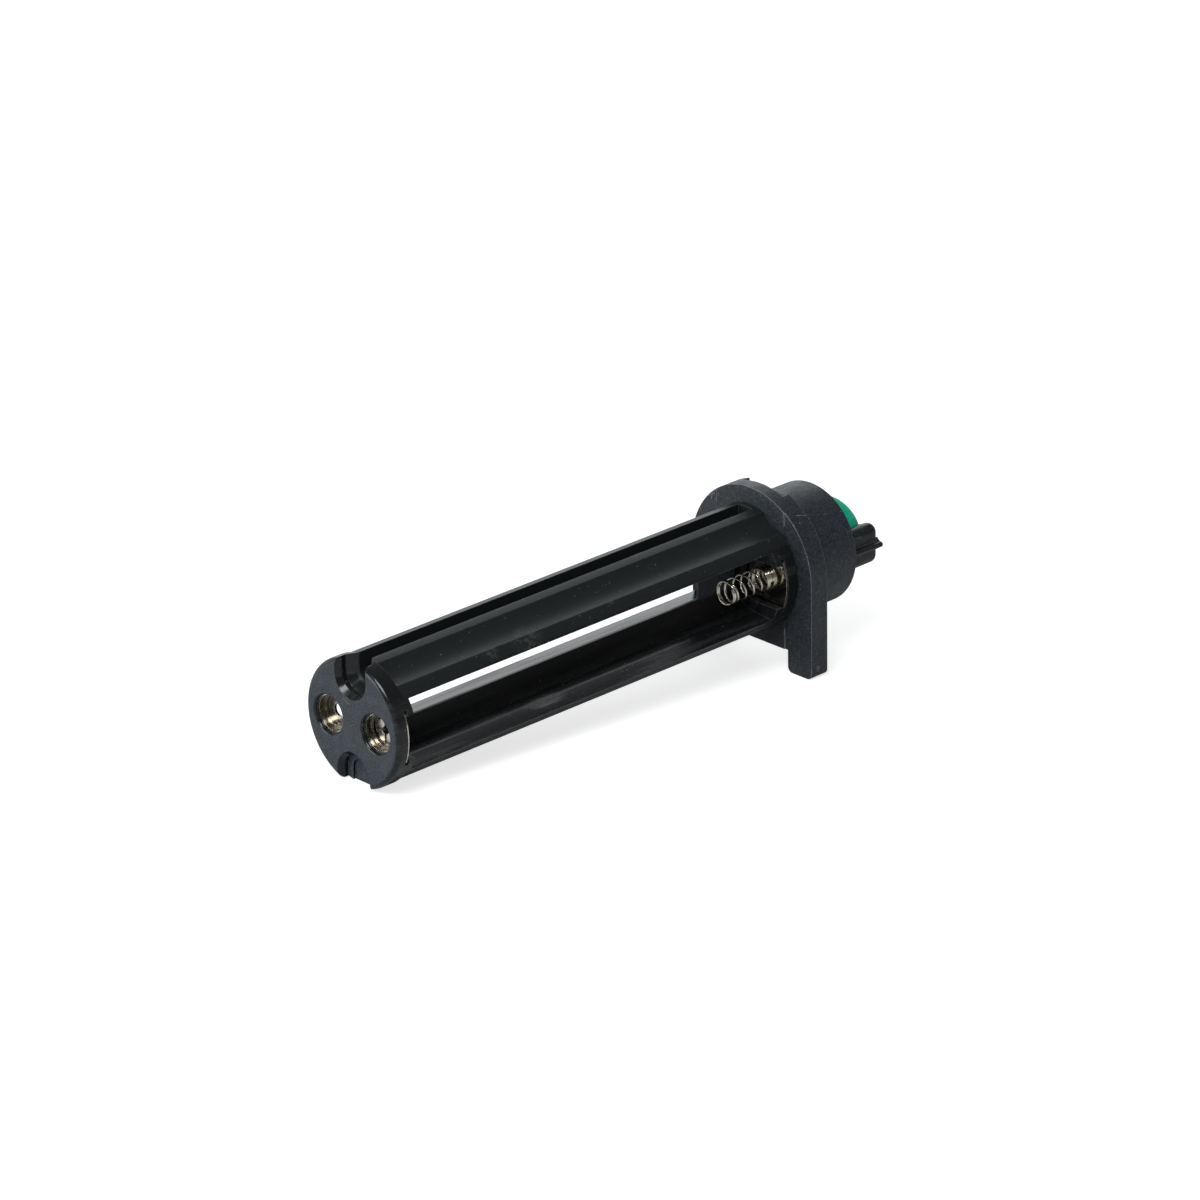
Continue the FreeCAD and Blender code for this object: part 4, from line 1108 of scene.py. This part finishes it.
class MAGAZINE_OT_hardware(bpy.types.Operator):
    """Finish the screws, shaft, clip, washer and seal"""

    bl_idname = "magazine.hardware"
    bl_label = "Finish hardware"

    def execute(self, context):
        colour = settings().steel_colour
        screws = plated_metal("screw_steel", colour, rough=0.28, tarnish=0.2)
        coat(["flange_screws", "knob_screw"], screws)
        turned = plated_metal("shaft_steel", colour, rough=0.32, tarnish=0.15)
        coat(["knob_shaft", "shaft_clip", "friction_washer"], turned)
        coat(["shaft_seal"], seal_black())
        return {"FINISHED"}


class MAGAZINE_OT_knob(bpy.types.Operator):
    """Finish the turn knob's dome and grip"""

    bl_idname = "magazine.knob"
    bl_label = "Finish knob"

    def execute(self, context):
        coat(["knob_dome"], dome_green())
        colour = settings().grip_colour
        coat(["knob_grip"], textured_black("grip_plastic", colour, rough=0.4, wear=0.45, dust=0.4))
        return {"FINISHED"}


class MAGAZINE_OT_stage(bpy.types.Operator):
    """Set the floor, the light and the camera"""

    bl_idname = "magazine.stage"
    bl_label = "Set stage"

    def execute(self, context):
        use = context.scene.magazine_stage
        lay_floor(use)
        light_world(use)
        for name, place, size in SOFTBOXES:
            power = getattr(use, name + "_power")
            add_softbox(name + "_softbox", power, use.lamp_colour, place, size)
        add_camera(use)
        context.scene.view_settings.view_transform = "Standard"
        return {"FINISHED"}


OPERATORS = (
    MAGAZINE_OT_cradle,
    MAGAZINE_OT_housing,
    MAGAZINE_OT_contacts,
    MAGAZINE_OT_springs,
    MAGAZINE_OT_hardware,
    MAGAZINE_OT_knob,
    MAGAZINE_OT_stage,
)


class MAGAZINE_PT_looks(bpy.types.Panel):
    """Lists the magazine's steps and settings"""

    bl_idname = "MAGAZINE_PT_looks"
    bl_label = "Cell magazine"
    bl_space_type = "VIEW_3D"
    bl_region_type = "UI"
    bl_category = "Cell magazine"

    def draw(self, context):
        for operator in OPERATORS:
            self.layout.operator(operator.bl_idname)
        for place in SETTINGS:
            group = getattr(context.scene, place)
            box = self.layout.box()
            for name in group.__annotations__:
                box.prop(group, name)


SETTINGS = {
    "magazine_finish": FinishSettings,
    "magazine_springs": SpringSettings,
    "magazine_stage": StageSettings,
}
CLASSES = (*SETTINGS.values(), *OPERATORS, MAGAZINE_PT_looks)


def register():
    """Make the classes and their settings known to Blender."""
    for item in CLASSES:
        bpy.utils.register_class(item)
    for name, group in SETTINGS.items():
        setattr(bpy.types.Scene, name, PointerProperty(type=group))


def unregister():
    """Take the settings and classes away again."""
    for name in SETTINGS:
        delattr(bpy.types.Scene, name)
    for item in reversed(CLASSES):
        bpy.utils.unregister_class(item)


def main():
    """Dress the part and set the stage."""
    register()
    bpy.ops.magazine.cradle()
    bpy.ops.magazine.housing()
    bpy.ops.magazine.contacts()
    bpy.ops.magazine.springs()
    bpy.ops.magazine.hardware()
    bpy.ops.magazine.knob()
    bpy.ops.magazine.stage()


if __name__ == "__main__":
    main()
